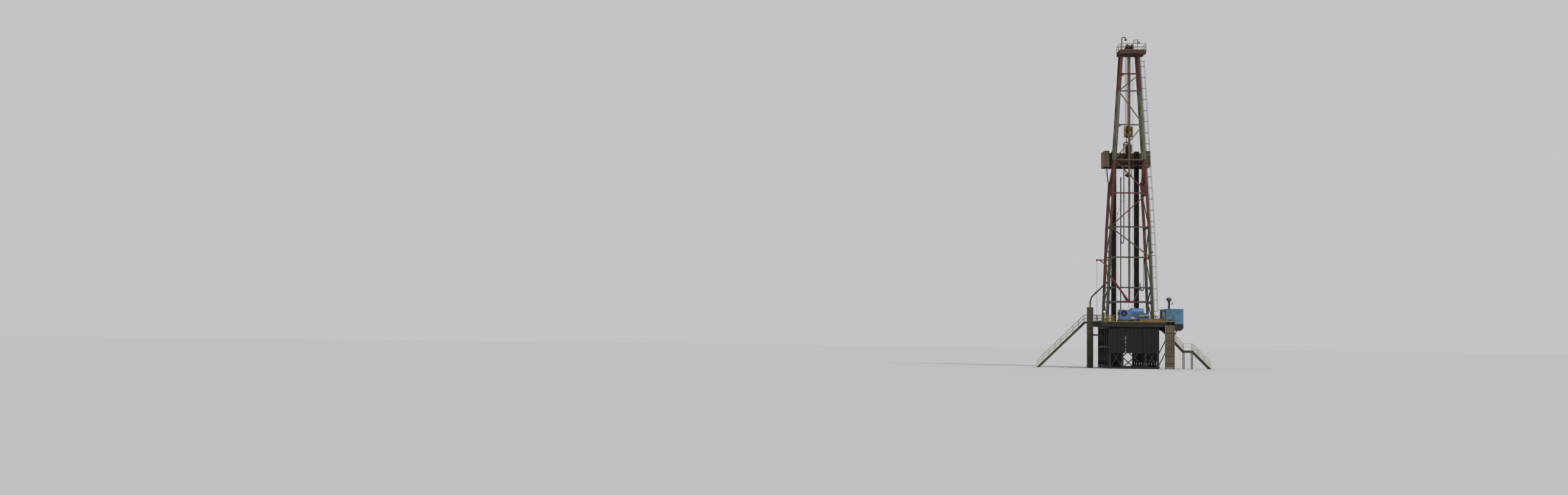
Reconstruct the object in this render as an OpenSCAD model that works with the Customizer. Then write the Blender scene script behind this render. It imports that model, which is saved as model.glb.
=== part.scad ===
// Land drilling rig with a cantilever mast, as a half-size model.
// Well axis at x = 0, y = 0 of the working frame; +Y is the ramp side, +X the doghouse side.
// Pieces are moved so that the origin lies under the middle of the rig.

/* [Substructure] */
// Height of the drill floor above the ground
floor_h = 3750; // [3600:10:3900]
// Width over both side boxes
sub_w = 3950; // [3850:10:4050]
// Width of each side box
box_w = 1150; // [1050:10:1250]
// Reach of the boxes behind the well
sub_rear = 2600; // [2550:10:2650]
// Reach of the boxes in front of the well
sub_front = 2900; // [2850:10:3000]
// Bays along each box
sub_bays = 5; // [4:1:6]
// Side of the box posts
post_w = 150; // [120:5:180]
// Depth of the base skid beams
skid_h = 250; // [200:10:300]
// Depth of the tier beams
tier_beam_h = 150; // [120:5:200]
// Thickness of the braces in the boxes
brace_t = 70; // [50:5:90]
// Height of the weather sheets behind the boxes
sheet_h = 2100; // [1600:10:2400]
// Thickness of the weather sheets
sheet_t = 16; // [8:1:24]

/* [Drill floor] */
// Half width of the drill floor
deck_x = 2400; // [2350:10:2450]
// Reach of the drill floor behind the well
deck_rear = 2750; // [2700:10:2850]
// Reach of the drill floor in front of the well
deck_front = 3050; // [3000:10:3150]
// Thickness of the floor plate
deck_t = 60; // [40:5:80]
// Depth of the beams under the floor
floor_beam_h = 350; // [280:10:400]
// Width of the beams under the floor
floor_beam_w = 150; // [100:5:180]
// Side of the rotary opening
rotary_d = 560; // [480:10:600]
// Height of the handrails
rail_h = 550; // [450:10:600]
// Side of the handrail tubes
rail_w = 26; // [20:1:36]
// Width of the gate to the pipe ramp
v_door_w = 1000; // [800:10:1200]
// Run of the pipe ramp
ramp_run = 3950; // [3600:10:4300]
// Thickness of the ramp
ramp_t = 120; // [80:5:160]

/* [Stairs] */
// Clear width of the stairs
stair_w = 450; // [380:10:520]
// Place of the stairs in front of the well
stair_y = 750; // [700:10:800]
// Length of the left landing
left_landing = 1015; // [900:5:1100]
// Run of the left stair
left_run = 3850; // [3600:10:4000]
// Rise of each step
step_rise = 125; // [110:5:150]
// Run of the upper right flight
right_run = 2160; // [2000:10:2400]
// Length of the right landing
right_landing = 740; // [600:10:900]
// Height of the right landing
right_landing_z = 1500; // [1375:125:1625]
// Run of the lower right flight
lower_run = 1500; // [1300:10:1700]
// Depth of the stringers
stringer_h = 140; // [100:5:180]
// Thickness of the stringers
stringer_t = 30; // [20:1:40]

/* [Doghouse] */
// Gap between the floor and the doghouse
dog_gap = 200; // [160:10:240]
// Width of the doghouse
dog_w = 1360; // [1250:10:1500]
// Reach of the doghouse behind the well
dog_rear = 2250; // [2150:10:2350]
// Reach of the doghouse in front of the well
dog_front = 300; // [250:10:350]
// Height of the doghouse
dog_h = 1225; // [1180:5:1300]
// Drop of its underside below the drill floor
dog_drop = 195; // [150:5:240]
// Thickness of its walls
dog_wall = 50; // [40:1:60]
// Depth of its underframe
dog_base_h = 500; // [400:10:560]
// Width of the doorway
door_w = 450; // [400:5:500]
// Height of the doorway
door_h = 950; // [900:5:970]
// Thickness of the door leaf
door_t = 30; // [20:1:40]

/* [Mast] */
// Half width between leg centres at the floor
leg_x_floor = 1825; // [1800:5:1850]
// Half width between leg centres at the knee
leg_x_knee = 1530; // [1500:5:1560]
// Half width between leg centres at the crown
leg_x_top = 666; // [640:2:700]
// Height of the knee, where the legs lean in more
knee_z = 11400; // [11200:10:11500]
// Height of the second section joint
second_z = 16850; // [16800:10:16900]
// Height of the third section joint
third_z = 22450; // [22300:10:22600]
// Height of the mast head
head_z = 25450; // [25400:10:25500]
// Height at which the front leg stops
shoulder_z = 15200; // [15000:10:15300]
// Width of a leg beam
leg_w = 200; // [180:2:220]
// Flange thickness of a leg beam
leg_flange = 20; // [14:1:26]
// Web thickness of a leg beam
leg_web = 16; // [12:1:22]
// Place of the rear legs behind the well
leg_rear = 800; // [780:5:820]
// Place of the upper front legs
leg_upper_front = 150; // [140:2:170]
// Place of the lower front legs
leg_lower_front = 1300; // [1250:5:1350]
// Width of a mast brace
mast_bar = 80; // [60:2:100]
// Depth of a mast girt
girt_h = 110; // [90:5:130]
// Height of the heavy beam over the drawworks
heavy_z = 5350; // [5250:10:5450]

/* [Racking board] */
// Height of the racking board
board_z = 16600; // [16500:10:16700]
// Half width of the racking board
board_x = 1850; // [1750:10:1950]
// Near edge of the racking board
board_near = 330; // [325:5:350]
// Far edge of the racking board
board_far = 2150; // [2050:10:2300]
// Height of the wind walls
wall_h = 1300; // [900:10:1500]
// Thickness of the wind walls
wall_t = 16; // [10:1:24]
// Spacing of the racking fingers
finger_pitch = 110; // [104:1:116]
// Diameter of the drill pipe
pipe_d = 64; // [56:1:70]
// Diameter of the tool joints
joint_d = 84; // [78:1:88]
// Length of a racked stand
stand_l = 14000; // [13700:10:14200]
// Spacing of the stands across the rig
stand_pitch = 92; // [90:1:100]
// Place of the innermost stands
stand_x = 790; // [760:5:830]

/* [Crown] */
// Depth of the crown beams
crown_beam_h = 250; // [200:10:260]
// Reach of the crown deck to the left
crown_left = 850; // [820:10:900]
// Reach of the crown deck to the right
crown_right = 1250; // [1200:10:1300]
// Reach of the crown deck to the rear
crown_rear = 1150; // [1120:10:1200]
// Reach of the crown deck to the front
crown_front = 600; // [560:10:650]
// Radius of the crown sheaves
sheave_r = 290; // [260:5:300]
// Width of a sheave
sheave_w = 50; // [40:1:54]
// Spacing of the sheaves
sheave_pitch = 66; // [62:1:72]
// Sheaves in the crown cluster
crown_sheave_n = 6; // [5:1:7]
// Diameter of the drilling line
line_d = 20; // [14:1:22]
// Height of the top of the gin pole
pole_top = 27100; // [27000:10:27200]

/* [Travelling assembly] */
// Height of the top of the travelling block
block_top = 19700; // [19600:10:19800]
// Height of the travelling block
block_h = 900; // [850:10:950]
// Width of the travelling block
block_w = 625; // [600:5:640]
// Depth of the travelling block
block_d = 560; // [520:10:580]
// Height of the underside of the top drive
drive_bottom = 16350; // [16300:10:16400]
// Height of the underside of the elevator
elevator_z = 15500; // [15450:10:15600]
// Width of the torque rail
rail_beam_w = 140; // [120:2:150]
// Depth of the torque rail
rail_beam_d = 100; // [80:2:110]
// Place of the torque rail behind the well
rail_beam_y = 450; // [440:2:460]

/* [Service lines] */
// Diameter of the rotary hose
hose_d = 70; // [60:1:76]
// Diameter of the standpipe
standpipe_d = 80; // [76:1:90]
// Place of the standpipe to the left of the well
standpipe_x = 725; // [715:5:735]
// Place of the standpipe behind the well
standpipe_y = 680; // [676:1:690]
// Height of the service column
column_h = 4900; // [4700:10:5000]
// Width of the service column
column_w = 450; // [400:10:500]
// Place of the service column to the left of the well
column_x = 3075; // [3040:5:3120]

/* [Hidden] */
// Play between parts that meet without a weld
play = 0.3;
// Reach of the whole rig, which sets its origin
reach_left = deck_x + left_landing + left_run;
reach_right = deck_x + right_run + right_landing + lower_run;
reach_rear = deck_rear + rail_w;
reach_front = deck_front + ramp_run;
mid_x = (reach_right - reach_left) / 2;
mid_y = (reach_front - reach_rear) / 2;
// Levels of the box frames
box_x = sub_w / 2;
box_in = box_x - box_w;
beam_top = floor_h - deck_t;
box_top = beam_top - floor_beam_h;
tier_z = 1800;
bay_l = (sub_front + sub_rear) / sub_bays;
post_lines = [for (i = [0:sub_bays]) -sub_rear + i * bay_l];
// Sections of the mast and the girts in each
base_girts = [heavy_z, 6500, 8950];
lower_girts = [knee_z, 14150];
middle_girts = [second_z, 19700];
top_girts = [third_z, 23850];
foot_h = 100;
foot_top = floor_h + foot_h;
// Colours
mast_red = [0.48, 0.12, 0.10];
mast_pale = [0.66, 0.66, 0.56];
mast_green = [0.42, 0.45, 0.37];
frame_dark = [0.10, 0.10, 0.10];
rail_yellow = [0.62, 0.48, 0.16];
stair_cream = [0.80, 0.78, 0.64];
dog_blue = [0.38, 0.66, 0.80];
draw_blue = [0.20, 0.45, 0.80];
steel_grey = [0.45, 0.46, 0.46];
pipe_dark = [0.16, 0.16, 0.17];
rope_brown = [0.40, 0.36, 0.28];
block_yellow = [0.85, 0.65, 0.12];

// Moves a piece from the well's frame to the rig's own
module on_site() {
  translate([-mid_x, -mid_y, 0]) children();
}

// The children and their mirror image on the other side of the well
module both_sides() {
  children();
  mirror([1, 0, 0]) children();
}

// Rectangular bar from p to q, w wide and h deep
module bar(p, q, w, h) {
  d = q - p;
  translate(p)
    rotate([0, acos(d[2] / norm(d)), atan2(d[1], d[0])])
      translate([-h / 2, -w / 2, 0]) cube([h, w, norm(d)]);
}

// Round bar from p to q
module rod(p, q, d, sides = 24) {
  v = q - p;
  translate(p)
    rotate([0, acos(v[2] / norm(v)), atan2(v[1], v[0])])
      cylinder(d = d, h = norm(v), $fn = sides);
}

// Flat strip from p to q in a drawing
module strip(p, q, w) {
  d = q - p;
  translate(p)
    rotate(atan2(d[1], d[0])) translate([0, -w / 2]) square([norm(d), w]);
}

// Box given by its two corners
module block(a, b) {
  translate(a) cube(b - a);
}

// Upright drawing in the X and Z directions, t thick and centred on y
module upright(y, t) {
  translate([0, y + t / 2, 0])
    rotate([90, 0, 0])
      linear_extrude(t) children();
}

// Upright drawing in the Y and Z directions, t thick and centred on x
module upright_side(x, t) {
  translate([x - t / 2, 0, 0])
    rotate([90, 0, 90])
      linear_extrude(t) children();
}

// Side frame of a box: skid, two tiers of beams, posts and braces
module box_frame(x) {
  upright_side(x, post_w) {
    translate([-sub_rear, 0]) square([sub_front + sub_rear, skid_h]);
    translate([-sub_rear, tier_z - tier_beam_h]) square([sub_front + sub_rear, tier_beam_h]);
    translate([-sub_rear, box_top - tier_beam_h]) square([sub_front + sub_rear, tier_beam_h]);
    for (i = [0:sub_bays])
      translate([post_lines[i] - post_w * i / sub_bays, 0]) square([post_w, box_top]);
  }
  upright_side(x, brace_t)
    for (i = [0:sub_bays - 1]) intersection() {
      translate([post_lines[i], 0]) square([bay_l, box_top]);
      brace_bay(i);
    }
}

// Braces of one bay, rising in alternate directions
module brace_bay(i) {
  low = (i % 2 == 0) ? post_lines[i] : post_lines[i + 1];
  high = (i % 2 == 0) ? post_lines[i + 1] : post_lines[i];
  strip([low, skid_h], [high, tier_z - tier_beam_h], brace_t);
  strip([high, tier_z], [low, box_top - tier_beam_h], brace_t);
  strip([high, skid_h], [(low + high) / 2, tier_z / 2 + skid_h / 4], brace_t);
}

module left_outer_frame() {
  color(frame_dark) on_site()
    box_frame(-box_x + post_w / 2);
}

module left_inner_frame() {
  color(frame_dark) on_site()
    box_frame(-box_in - post_w / 2);
}

module right_inner_frame() {
  color(frame_dark) on_site()
    box_frame(box_in + post_w / 2);
}

module right_outer_frame() {
  color(frame_dark) on_site()
    box_frame(box_x - post_w / 2);
}

// Cross brace of a bay 2a wide between two levels, run past both ends
module cross_brace(a, z0, z1) {
  past = brace_t / (2 * a);
  rise = (z1 - z0) * past;
  strip([-a - brace_t, z0 - rise], [a + brace_t, z1 + rise], brace_t);
}

// Sway frame between x0 and x1 on one post line
module sway_frame(x0, x1) {
  for (z = [0, tier_z - tier_beam_h, box_top - tier_beam_h])
    translate([x0, z]) square([x1 - x0, tier_beam_h]);
  intersection() {
    translate([x0, 0]) square([x1 - x0, box_top]);
    for (side = [0, 1])
      translate([(x0 + x1) / 2, 0])
        mirror([side, 0]) {
          cross_brace((x1 - x0) / 2, tier_beam_h, tier_z - tier_beam_h);
          cross_brace((x1 - x0) / 2, tier_z, box_top - tier_beam_h);
        }
  }
}

module box_ties() {
  color(frame_dark) on_site()
    for (i = [0:sub_bays])
      both_sides()
        upright(post_lines[i] + post_w * (0.5 - i / sub_bays), brace_t)
          sway_frame(box_in + post_w, box_x - post_w);
}

module cellar_spreaders() {
  color(frame_dark) on_site()
    for (i = [0:sub_bays])
      upright(post_lines[i] + post_w * (0.5 - i / sub_bays), brace_t)
        if (i == 0 || i == sub_bays)
          sway_frame(-box_in, box_in);
        else
          translate([-box_in, box_top - tier_beam_h]) square([2 * box_in, tier_beam_h]);
}

// Sheets hung behind the boxes and the cellar, with slots between them
sheet_gap = 36;
sheet_ribs = 4;
rib_d = 24;
module weather_sheets() {
  sheet_w = (sub_w - 2 * sheet_gap) / 3;
  color(frame_dark) on_site()
    for (k = [0:2])
      translate([-box_x + k * (sheet_w + sheet_gap), -sub_rear - sheet_t, box_top - sheet_h]) {
        cube([sheet_w, sheet_t, sheet_h]);
        for (j = [0:sheet_ribs])
          translate([j * (sheet_w - rib_d) / sheet_ribs, -rib_d, 0])
            cube([rib_d, rib_d, sheet_h]);
      }
}

// Cross beams and, between them, the deck edge beams and the box beams
stringer_x = [-deck_x, -box_in - post_w, box_in, deck_x - floor_beam_w];
cross_y = concat([[-deck_rear, floor_beam_w / 2]],
  [for (i = [0:sub_bays]) [post_lines[i] - floor_beam_w * i / sub_bays, floor_beam_w]],
  [[deck_front - floor_beam_w / 2, floor_beam_w / 2]]);
module floor_beams() {
  color(frame_dark) on_site()
    translate([0, 0, box_top])
      linear_extrude(floor_beam_h)
        for (k = [0:len(cross_y) - 1]) {
          translate([-deck_x, cross_y[k][0]]) square([2 * deck_x, cross_y[k][1]]);
          if (k > 0)
            for (x = stringer_x)
              let (y = cross_y[k - 1][0] + cross_y[k - 1][1] + play)
                translate([x, y]) square([floor_beam_w, cross_y[k][0] - play - y]);
        }
}

module floor_deck() {
  color(steel_grey) on_site()
    difference() {
      block([-deck_x, -deck_rear, beam_top], [deck_x, deck_front, floor_h]);
      translate([0, 0, beam_top - 1]) cylinder(d = rotary_d, h = deck_t + 2, $fn = 48);
    }
}

// Rotary table with its bore and the raised slip ring
table_rise = 60;
table_flange = 60;
table_bore = 150;
module rotary_table() {
  color(pipe_dark) on_site()
    difference() {
      union() {
        translate([0, 0, beam_top - 120])
          cylinder(d = rotary_d - 2 * play, h = deck_t + 120, $fn = 48);
        translate([0, 0, floor_h])
          cylinder(d = rotary_d + table_flange, h = table_rise, $fn = 48);
      }
      translate([0, 0, beam_top - 121])
        cylinder(d = table_bore, h = deck_t + 122 + table_rise, $fn = 48);
    }
}

// Handrail panel: posts, top rail, knee rail and toe board, drawn from 0 to l
toe_h = 75;
rail_bay = 750;
module rail_panel(l) {
  bays = max(1, round(l / rail_bay));
  for (i = [0:bays])
    translate([i * (l - rail_w) / bays, 0]) square([rail_w, rail_h]);
  for (z = [rail_h - rail_w, rail_h / 2])
    translate([0, z]) square([l, rail_w]);
  square([l, toe_h]);
}

stair_half = stair_w / 2 + stringer_t;
porch_w = 800;
module floor_rails() {
  edge_x = deck_x - rail_w / 2;
  color(rail_yellow) on_site()
    translate([0, 0, floor_h]) {
      upright(-deck_rear - rail_w / 2, rail_w)
        translate([-deck_x, -deck_t]) rail_panel(2 * deck_x);
      for (side = [-1, 1])
        upright(deck_front - rail_w / 2, rail_w)
          translate([side < 0 ? -deck_x + rail_w + play : v_door_w / 2, 0])
            rail_panel(deck_x - v_door_w / 2 - rail_w - play);
      upright_side(-edge_x, rail_w) {
        translate([-deck_rear + play, 0]) rail_panel(deck_rear - play + stair_y - stair_half);
        translate([stair_y + stair_half, 0]) rail_panel(deck_front - stair_y - stair_half);
      }
      upright_side(edge_x, rail_w)
        translate([stair_y + stair_half, 0]) rail_panel(deck_front - stair_y - stair_half);
      upright(-deck_rear + rail_w / 2, rail_w)
        translate([deck_x + play, 0]) rail_panel(porch_w - play);
      upright_side(deck_x + porch_w - rail_w / 2, rail_w)
        translate([-deck_rear + rail_w + play, 0])
          rail_panel(deck_rear - dog_rear - rail_w - play);
    }
}

// Ramp for pipe: sloping plate between two side beams, with cross ribs under it
ramp_beam_w = 80;
ramp_foot_h = 90;
ramp_ribs = 7;
module pipe_ramp() {
  slope = atan2(floor_h - ramp_foot_h, ramp_run);
  plate_t = ramp_t / 4;
  color(frame_dark) on_site() {
    for (side = [-1, 1])
      upright_side(side * (v_door_w - ramp_beam_w) / 2, ramp_beam_w)
        polygon([
          [deck_front, floor_h],
          [deck_front, floor_h - 2 * ramp_t],
          [deck_front + ramp_run - ramp_t, 0],
          [deck_front + ramp_run, 0],
          [deck_front + ramp_run, ramp_foot_h]
        ]);
    upright_side(0, v_door_w - ramp_beam_w)
      polygon([
        [deck_front, floor_h],
        [deck_front, floor_h - plate_t / cos(slope)],
        [deck_front + ramp_run, ramp_foot_h - plate_t / cos(slope)],
        [deck_front + ramp_run, ramp_foot_h]
      ]);
    for (i = [1:ramp_ribs])
      let (
        y = deck_front + ramp_run * i / (ramp_ribs + 1),
        z = floor_h - (floor_h - ramp_foot_h) * i / (ramp_ribs + 1)
      )
        bar([-v_door_w / 2 + ramp_beam_w / 2, y, z - plate_t - 40],
          [v_door_w / 2 - ramp_beam_w / 2, y, z - plate_t - 40], 60, 50);
  }
}

// Side view of a stringer from top to foot, cut upright at both ends
module stringer(top, foot, on_ground) {
  run = foot[0] - top[0];
  fall = top[1] - foot[1];
  drop = stringer_h * norm([run, fall]) / abs(run);
  polygon(on_ground
    ? [top, [top[0], top[1] - drop], [foot[0] - run * drop / fall, foot[1]], foot]
    : [top, [top[0], top[1] - drop], [foot[0], foot[1] - drop], foot]);
}

// Two like pieces at the sides of a stair
module stair_sides() {
  for (side = [-1, 1])
    upright(stair_y + side * (stair_w + stringer_t) / 2, stringer_t)
      children();
}

// Treads of one flight between its upper and lower ends
tread_t = 20;
tread_nose = 14;
module treads(top, foot) {
  steps = round((top[1] - foot[1]) / step_rise);
  go = (foot[0] - top[0]) / steps;
  depth = abs(go) + tread_nose - play;
  for (i = [1:steps - 1])
    translate([
      top[0] + (go < 0 ? i * go - tread_nose : (i - 1) * go + play),
      stair_y - stair_w / 2,
      top[1] - i * (top[1] - foot[1]) / steps - tread_t
    ])
      cube([depth, stair_w, tread_t]);
}

left_top = [-deck_x - left_landing, floor_h];
left_foot = [left_top[0] - left_run, 0];
module left_stair_frame() {
  color(frame_dark) on_site() {
    stair_sides() {
      stringer(left_top, left_foot, true);
      translate([left_top[0], floor_h - stringer_h]) square([left_landing, stringer_h]);
    }
    block([left_top[0], stair_y - stair_w / 2, floor_h - tread_t - 30],
       [-deck_x, stair_y + stair_w / 2, floor_h - 30]);
    for (k = [0:2])
      translate([left_top[0] + k * (left_landing - tier_beam_h / 2) / 2,
           stair_y - stair_w / 2, floor_h - stringer_h])
        cube([tier_beam_h / 2, stair_w, stringer_h - tread_t - 30]);
  }
}

// Stair handrail that follows a walking line, cut flush to the stringer
stair_post = 700;
module stair_rail(line) {
  difference() {
    for (k = [0:len(line) - 2])
      let (a = line[k], b = line[k + 1], n = max(1, round(norm(b - a) / stair_post))) {
        for (h = [rail_h, rail_h / 2])
          strip(a + [0, h - rail_w / 2], b + [0, h - rail_w / 2], rail_w);
        for (i = [0:n])
          translate(a + (b - a) * i / n - [i == 0 && k == 0 ? 0 : rail_w / 2, 0])
            translate([b[0] < a[0] && i == 0 && k == 0 ? -rail_w : 0, -rail_w])
              square([rail_w, rail_h + rail_w / 2]);
      }
    polygon(concat(line, [[line[len(line) - 1][0] * 1.1, -rail_h], [line[0][0], -rail_h]]));
  }
}

right_top = [deck_x, floor_h];
right_mid = [deck_x + right_run, right_landing_z];
right_turn = [right_mid[0] + right_landing, right_landing_z];
right_foot = [right_turn[0] + lower_run, 0];
module stair_treads() {
  color(steel_grey) on_site() {
    treads(left_top, left_foot);
    treads(right_top, right_mid);
    treads(right_turn, right_foot);
  }
}

landing_post = 60;
module right_stair_frame() {
  drop = stringer_h * norm([right_run, floor_h - right_landing_z]) / right_run;
  color(frame_dark) on_site() {
    stair_sides() {
      stringer(right_top, right_mid, false);
      translate([right_mid[0], right_landing_z - drop]) square([right_landing, drop]);
      stringer(right_turn, right_foot, true);
      for (x = [right_mid[0], right_turn[0] - landing_post])
        translate([x, 0]) square([landing_post, right_landing_z]);
    }
    block([right_mid[0], stair_y - stair_w / 2, right_landing_z - tread_t - 30],
       [right_turn[0], stair_y + stair_w / 2, right_landing_z - 30]);
  }
}

rail_stop = 60;
module stair_rails() {
  color(stair_cream) on_site()
    for (side = [-1, 1])
      upright(stair_y + side * (stair_w + stringer_t) / 2, rail_w) {
        stair_rail([[-deck_x, floor_h], left_top, left_foot + rail_stop * [1, floor_h / left_run]]);
        stair_rail([right_top, right_mid, right_turn,
                    right_foot + rail_stop * [-1, right_landing_z / lower_run]]);
      }
}

// Doghouse levels and faces
dog_in = deck_x + dog_gap;
dog_out = dog_in + dog_w;
dog_low = floor_h - dog_drop;
dog_floor_t = 40;
dog_roof_t = 45;
wall_low = dog_low + dog_floor_t;
wall_top = dog_low + dog_h - dog_roof_t;
door_x = dog_in + dog_wall;
base_low = dog_low - dog_base_h;
base_cut = 180;
outrigger_t = 80;
porch_t = 50;

// Underframe with outriggers, the porch to the door, and the kicker braces
module doghouse_base() {
  kick_top = [dog_in + 0.62 * dog_w, base_low];
  color(frame_dark) on_site() {
    for (k = [0:3])
      upright(-dog_rear + outrigger_t / 2 + k * (dog_rear + dog_front - outrigger_t) / 3,
          outrigger_t)
        polygon([
          [deck_x, dog_low], [dog_out, dog_low],
          [dog_out, base_low + base_cut], [dog_out - base_cut, base_low],
          [dog_in, base_low], [deck_x, box_top]
        ]);
    for (x = [dog_in, dog_out - base_cut - outrigger_t])
      block([x, -dog_rear, base_low], [x + outrigger_t, dog_front, dog_low]);
    block([deck_x, -deck_rear, floor_h - porch_t], [dog_in, dog_front, floor_h]);
    block([dog_in, -deck_rear, floor_h - porch_t], [deck_x + porch_w, -dog_rear, floor_h]);
    block([dog_in - outrigger_t, -dog_rear, dog_low - porch_t], [dog_in, dog_front, floor_h - porch_t]);
    for (x = [deck_x, deck_x + (porch_w - outrigger_t) / 2, deck_x + porch_w - outrigger_t])
      block([x, -deck_rear, dog_low - porch_t], [x + outrigger_t, -dog_rear, floor_h - porch_t]);
    for (k = [0, 3])
      upright(-dog_rear + outrigger_t / 2 + k * (dog_rear + dog_front - outrigger_t) / 3,
          outrigger_t / 2)
        difference() {
          strip([box_x - 60, 70], kick_top + [30, 60], brace_t);
          translate([0, -200]) square([box_x, floor_h]);
          translate([0, -200]) square([dog_out, 200]);
        }
  }
}

module doghouse_floor() {
  color(steel_grey) on_site()
    block([dog_in, -dog_rear, dog_low], [dog_out, dog_front, wall_low]);
}

module doghouse_front_wall() {
  color(dog_blue) on_site()
    block([dog_in, dog_front - dog_wall, wall_low], [dog_out, dog_front, wall_top]);
}

// Hinge knuckles of the door, at the right edge of the doorway
hinge_x = door_x + door_w;
hinge_r = 9;
hinge_y = -dog_rear - hinge_r - 1;
hinge_l = 60;
hinge_levels = [floor_h + 150, floor_h + door_h / 2, floor_h + door_h - 170];
module doghouse_rear_wall() {
  color(dog_blue) on_site() {
    block([hinge_x, -dog_rear, wall_low], [dog_out, -dog_rear + dog_wall, wall_top]);
    for (z = hinge_levels) {
      translate([hinge_x, hinge_y, z - hinge_l - play])
        cylinder(r = hinge_r, h = hinge_l, $fn = 24);
      block([hinge_x, -dog_rear - 8, z - hinge_l - play], [hinge_x + 40, -dog_rear, z - play]);
    }
  }
}

module doghouse_outer_wall() {
  color(dog_blue) on_site()
    block([dog_out - dog_wall, -dog_rear + dog_wall, wall_low],
       [dog_out, dog_front - dog_wall, wall_top]);
}

// Wall towards the drill floor, with the driller's window
window_y = [-1700, -500];
window_z = [4120, 4560];
module doghouse_inner_wall() {
  color(dog_blue) on_site()
    difference() {
      block([dog_in, -dog_rear, wall_low], [door_x, dog_front - dog_wall, wall_top]);
      block([dog_in - 1, window_y[0], window_z[0]], [door_x + 1, window_y[1], window_z[1]]);
    }
}

glass_t = 10;
module doghouse_window() {
  color([0.55, 0.68, 0.72, 0.6]) on_site()
    block([dog_in + dog_wall / 2 - glass_t / 2, window_y[0] + play, window_z[0] + play],
       [dog_in + dog_wall / 2 + glass_t / 2, window_y[1] - play, window_z[1] - play]);
}

// Sill below and lintel above the doorway
module doghouse_lintel() {
  color(dog_blue) on_site()
    for (z = [[wall_low, floor_h], [floor_h + door_h, wall_top]])
      block([door_x, -dog_rear, z[0]], [hinge_x, -dog_rear + dog_wall, z[1]]);
}

roof_lip = 20;
module doghouse_roof() {
  color(dog_blue) on_site()
    block([dog_in - roof_lip, -dog_rear - roof_lip, wall_top],
       [dog_out + roof_lip, dog_front + roof_lip, wall_top + dog_roof_t]);
}

door_gap = 5;
module doghouse_door() {
  color(dog_blue) on_site() {
    difference() {
      block([door_x + door_gap, -dog_rear, floor_h + door_gap],
         [hinge_x - door_gap, -dog_rear + door_t, floor_h + door_h - door_gap]);
      block([door_x + 120, -dog_rear - 1, floor_h + 520],
         [hinge_x - 120, -dog_rear + door_t / 3, floor_h + 800]);
    }
    for (z = hinge_levels) {
      translate([hinge_x, hinge_y, z]) cylinder(r = hinge_r, h = hinge_l, $fn = 24);
      block([hinge_x - 50, -dog_rear - 8, z], [hinge_x, -dog_rear, z + hinge_l]);
    }
    block([door_x + 40, -dog_rear - 30, floor_h + 430], [door_x + 56, -dog_rear, floor_h + 480]);
    block([door_x + 40, -dog_rear - 38, floor_h + 446], [door_x + 130, -dog_rear - 30, floor_h + 464]);
  }
}

// Lamp on a square pole at the rear corner of the roof
lamp_x = 2860;
lamp_y = -2080;
lamp_pole = 150;
lamp_pole_h = 560;
lamp_r = 225;
side_lamp_x = 280;
module doghouse_lamp() {
  roof_top = wall_top + dog_roof_t;
  color(dog_blue) on_site()
    translate([lamp_x, lamp_y, roof_top]) {
      translate([-lamp_pole / 2, -lamp_pole / 2, 0]) cube([lamp_pole, lamp_pole, lamp_pole_h]);
      translate([0, 0, lamp_pole_h])
        rotate_extrude($fn = 48)
          polygon([[0, 0], [120, 0], [120, 90], [lamp_r, 130], [lamp_r, 200],
              [lamp_r * 0.86, 270], [lamp_r * 0.5, 325], [0, 345]]);
      block([lamp_pole / 2, -20, 380], [side_lamp_x, 20, 420]);
      translate([side_lamp_x, 0, 380]) cylinder(r1 = 50, r2 = 75, h = 110, $fn = 32);
    }
}

// Drawworks on their skid behind the well
draw_left = -1130;
draw_right = 1280;
draw_rear = -2560;
draw_front = -1420;
draw_skid_h = 130;
drum_y = -2000;
drum_z = floor_h + 640;
drum_r = 200;
drum_flange_r = 330;
drum_left = -900;
drum_right = -180;
drum_shaft = 45;
module drawworks_skid() {
  color(draw_blue) on_site()
    translate([0, 0, floor_h])
      linear_extrude(draw_skid_h) {
        for (y = [draw_rear, drum_y - 60, draw_front - 120])
          translate([draw_left, y]) square([draw_right - draw_left, 120]);
        for (x = [draw_left, drum_left - 100, drum_right, 400, draw_right - 120])
          translate([x, draw_rear]) square([120, draw_front - draw_rear]);
      }
}

// Side view of a drawworks cover: flat front and a rounded top
module cover_profile(depth, h) {
  r = depth * 0.3;
  square([depth, h - r]);
  translate([r, h - r]) circle(r = r, $fn = 48);
  translate([depth - r, h - r]) circle(r = r, $fn = 48);
  translate([r, h - 2 * r]) square([depth - 2 * r, 2 * r]);
}

cover_depth = 900;
cover_h = 930;
case_w = 190;
module drawworks_housing() {
  skid_top = floor_h + draw_skid_h;
  case_left = drum_left - case_w;
  color(draw_blue) on_site() {
    difference() {
      translate([drum_right + 30, draw_rear + 60, skid_top])
        rotate([90, 0, 90])
          linear_extrude(960) cover_profile(cover_depth, cover_h);
      for (i = [0:4])
        block([drum_right + 110 + i * 170, draw_rear + 59, skid_top + 110],
           [drum_right + 240 + i * 170, draw_rear + 68, skid_top + 560]);
      translate([drum_right + 29, drum_y, drum_z])
        rotate([0, 90, 0]) cylinder(r = drum_shaft + play, h = 120, $fn = 32);
    }
    difference() {
      translate([case_left, draw_rear + 60, skid_top])
        rotate([90, 0, 90])
          linear_extrude(case_w - 30) cover_profile(cover_depth, 830);
      translate([case_left - 1, drum_y, drum_z])
        rotate([0, 90, 0]) cylinder(r = drum_shaft + play, h = case_w, $fn = 32);
    }
    translate([draw_right - 430, drum_y - 60, skid_top + 300])
      rotate([0, 90, 0]) cylinder(r = 240, h = 400, $fn = 40);
    block([draw_right - 420, drum_y - 260, skid_top], [draw_right - 60, drum_y + 140, skid_top + 200]);
  }
}

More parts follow.
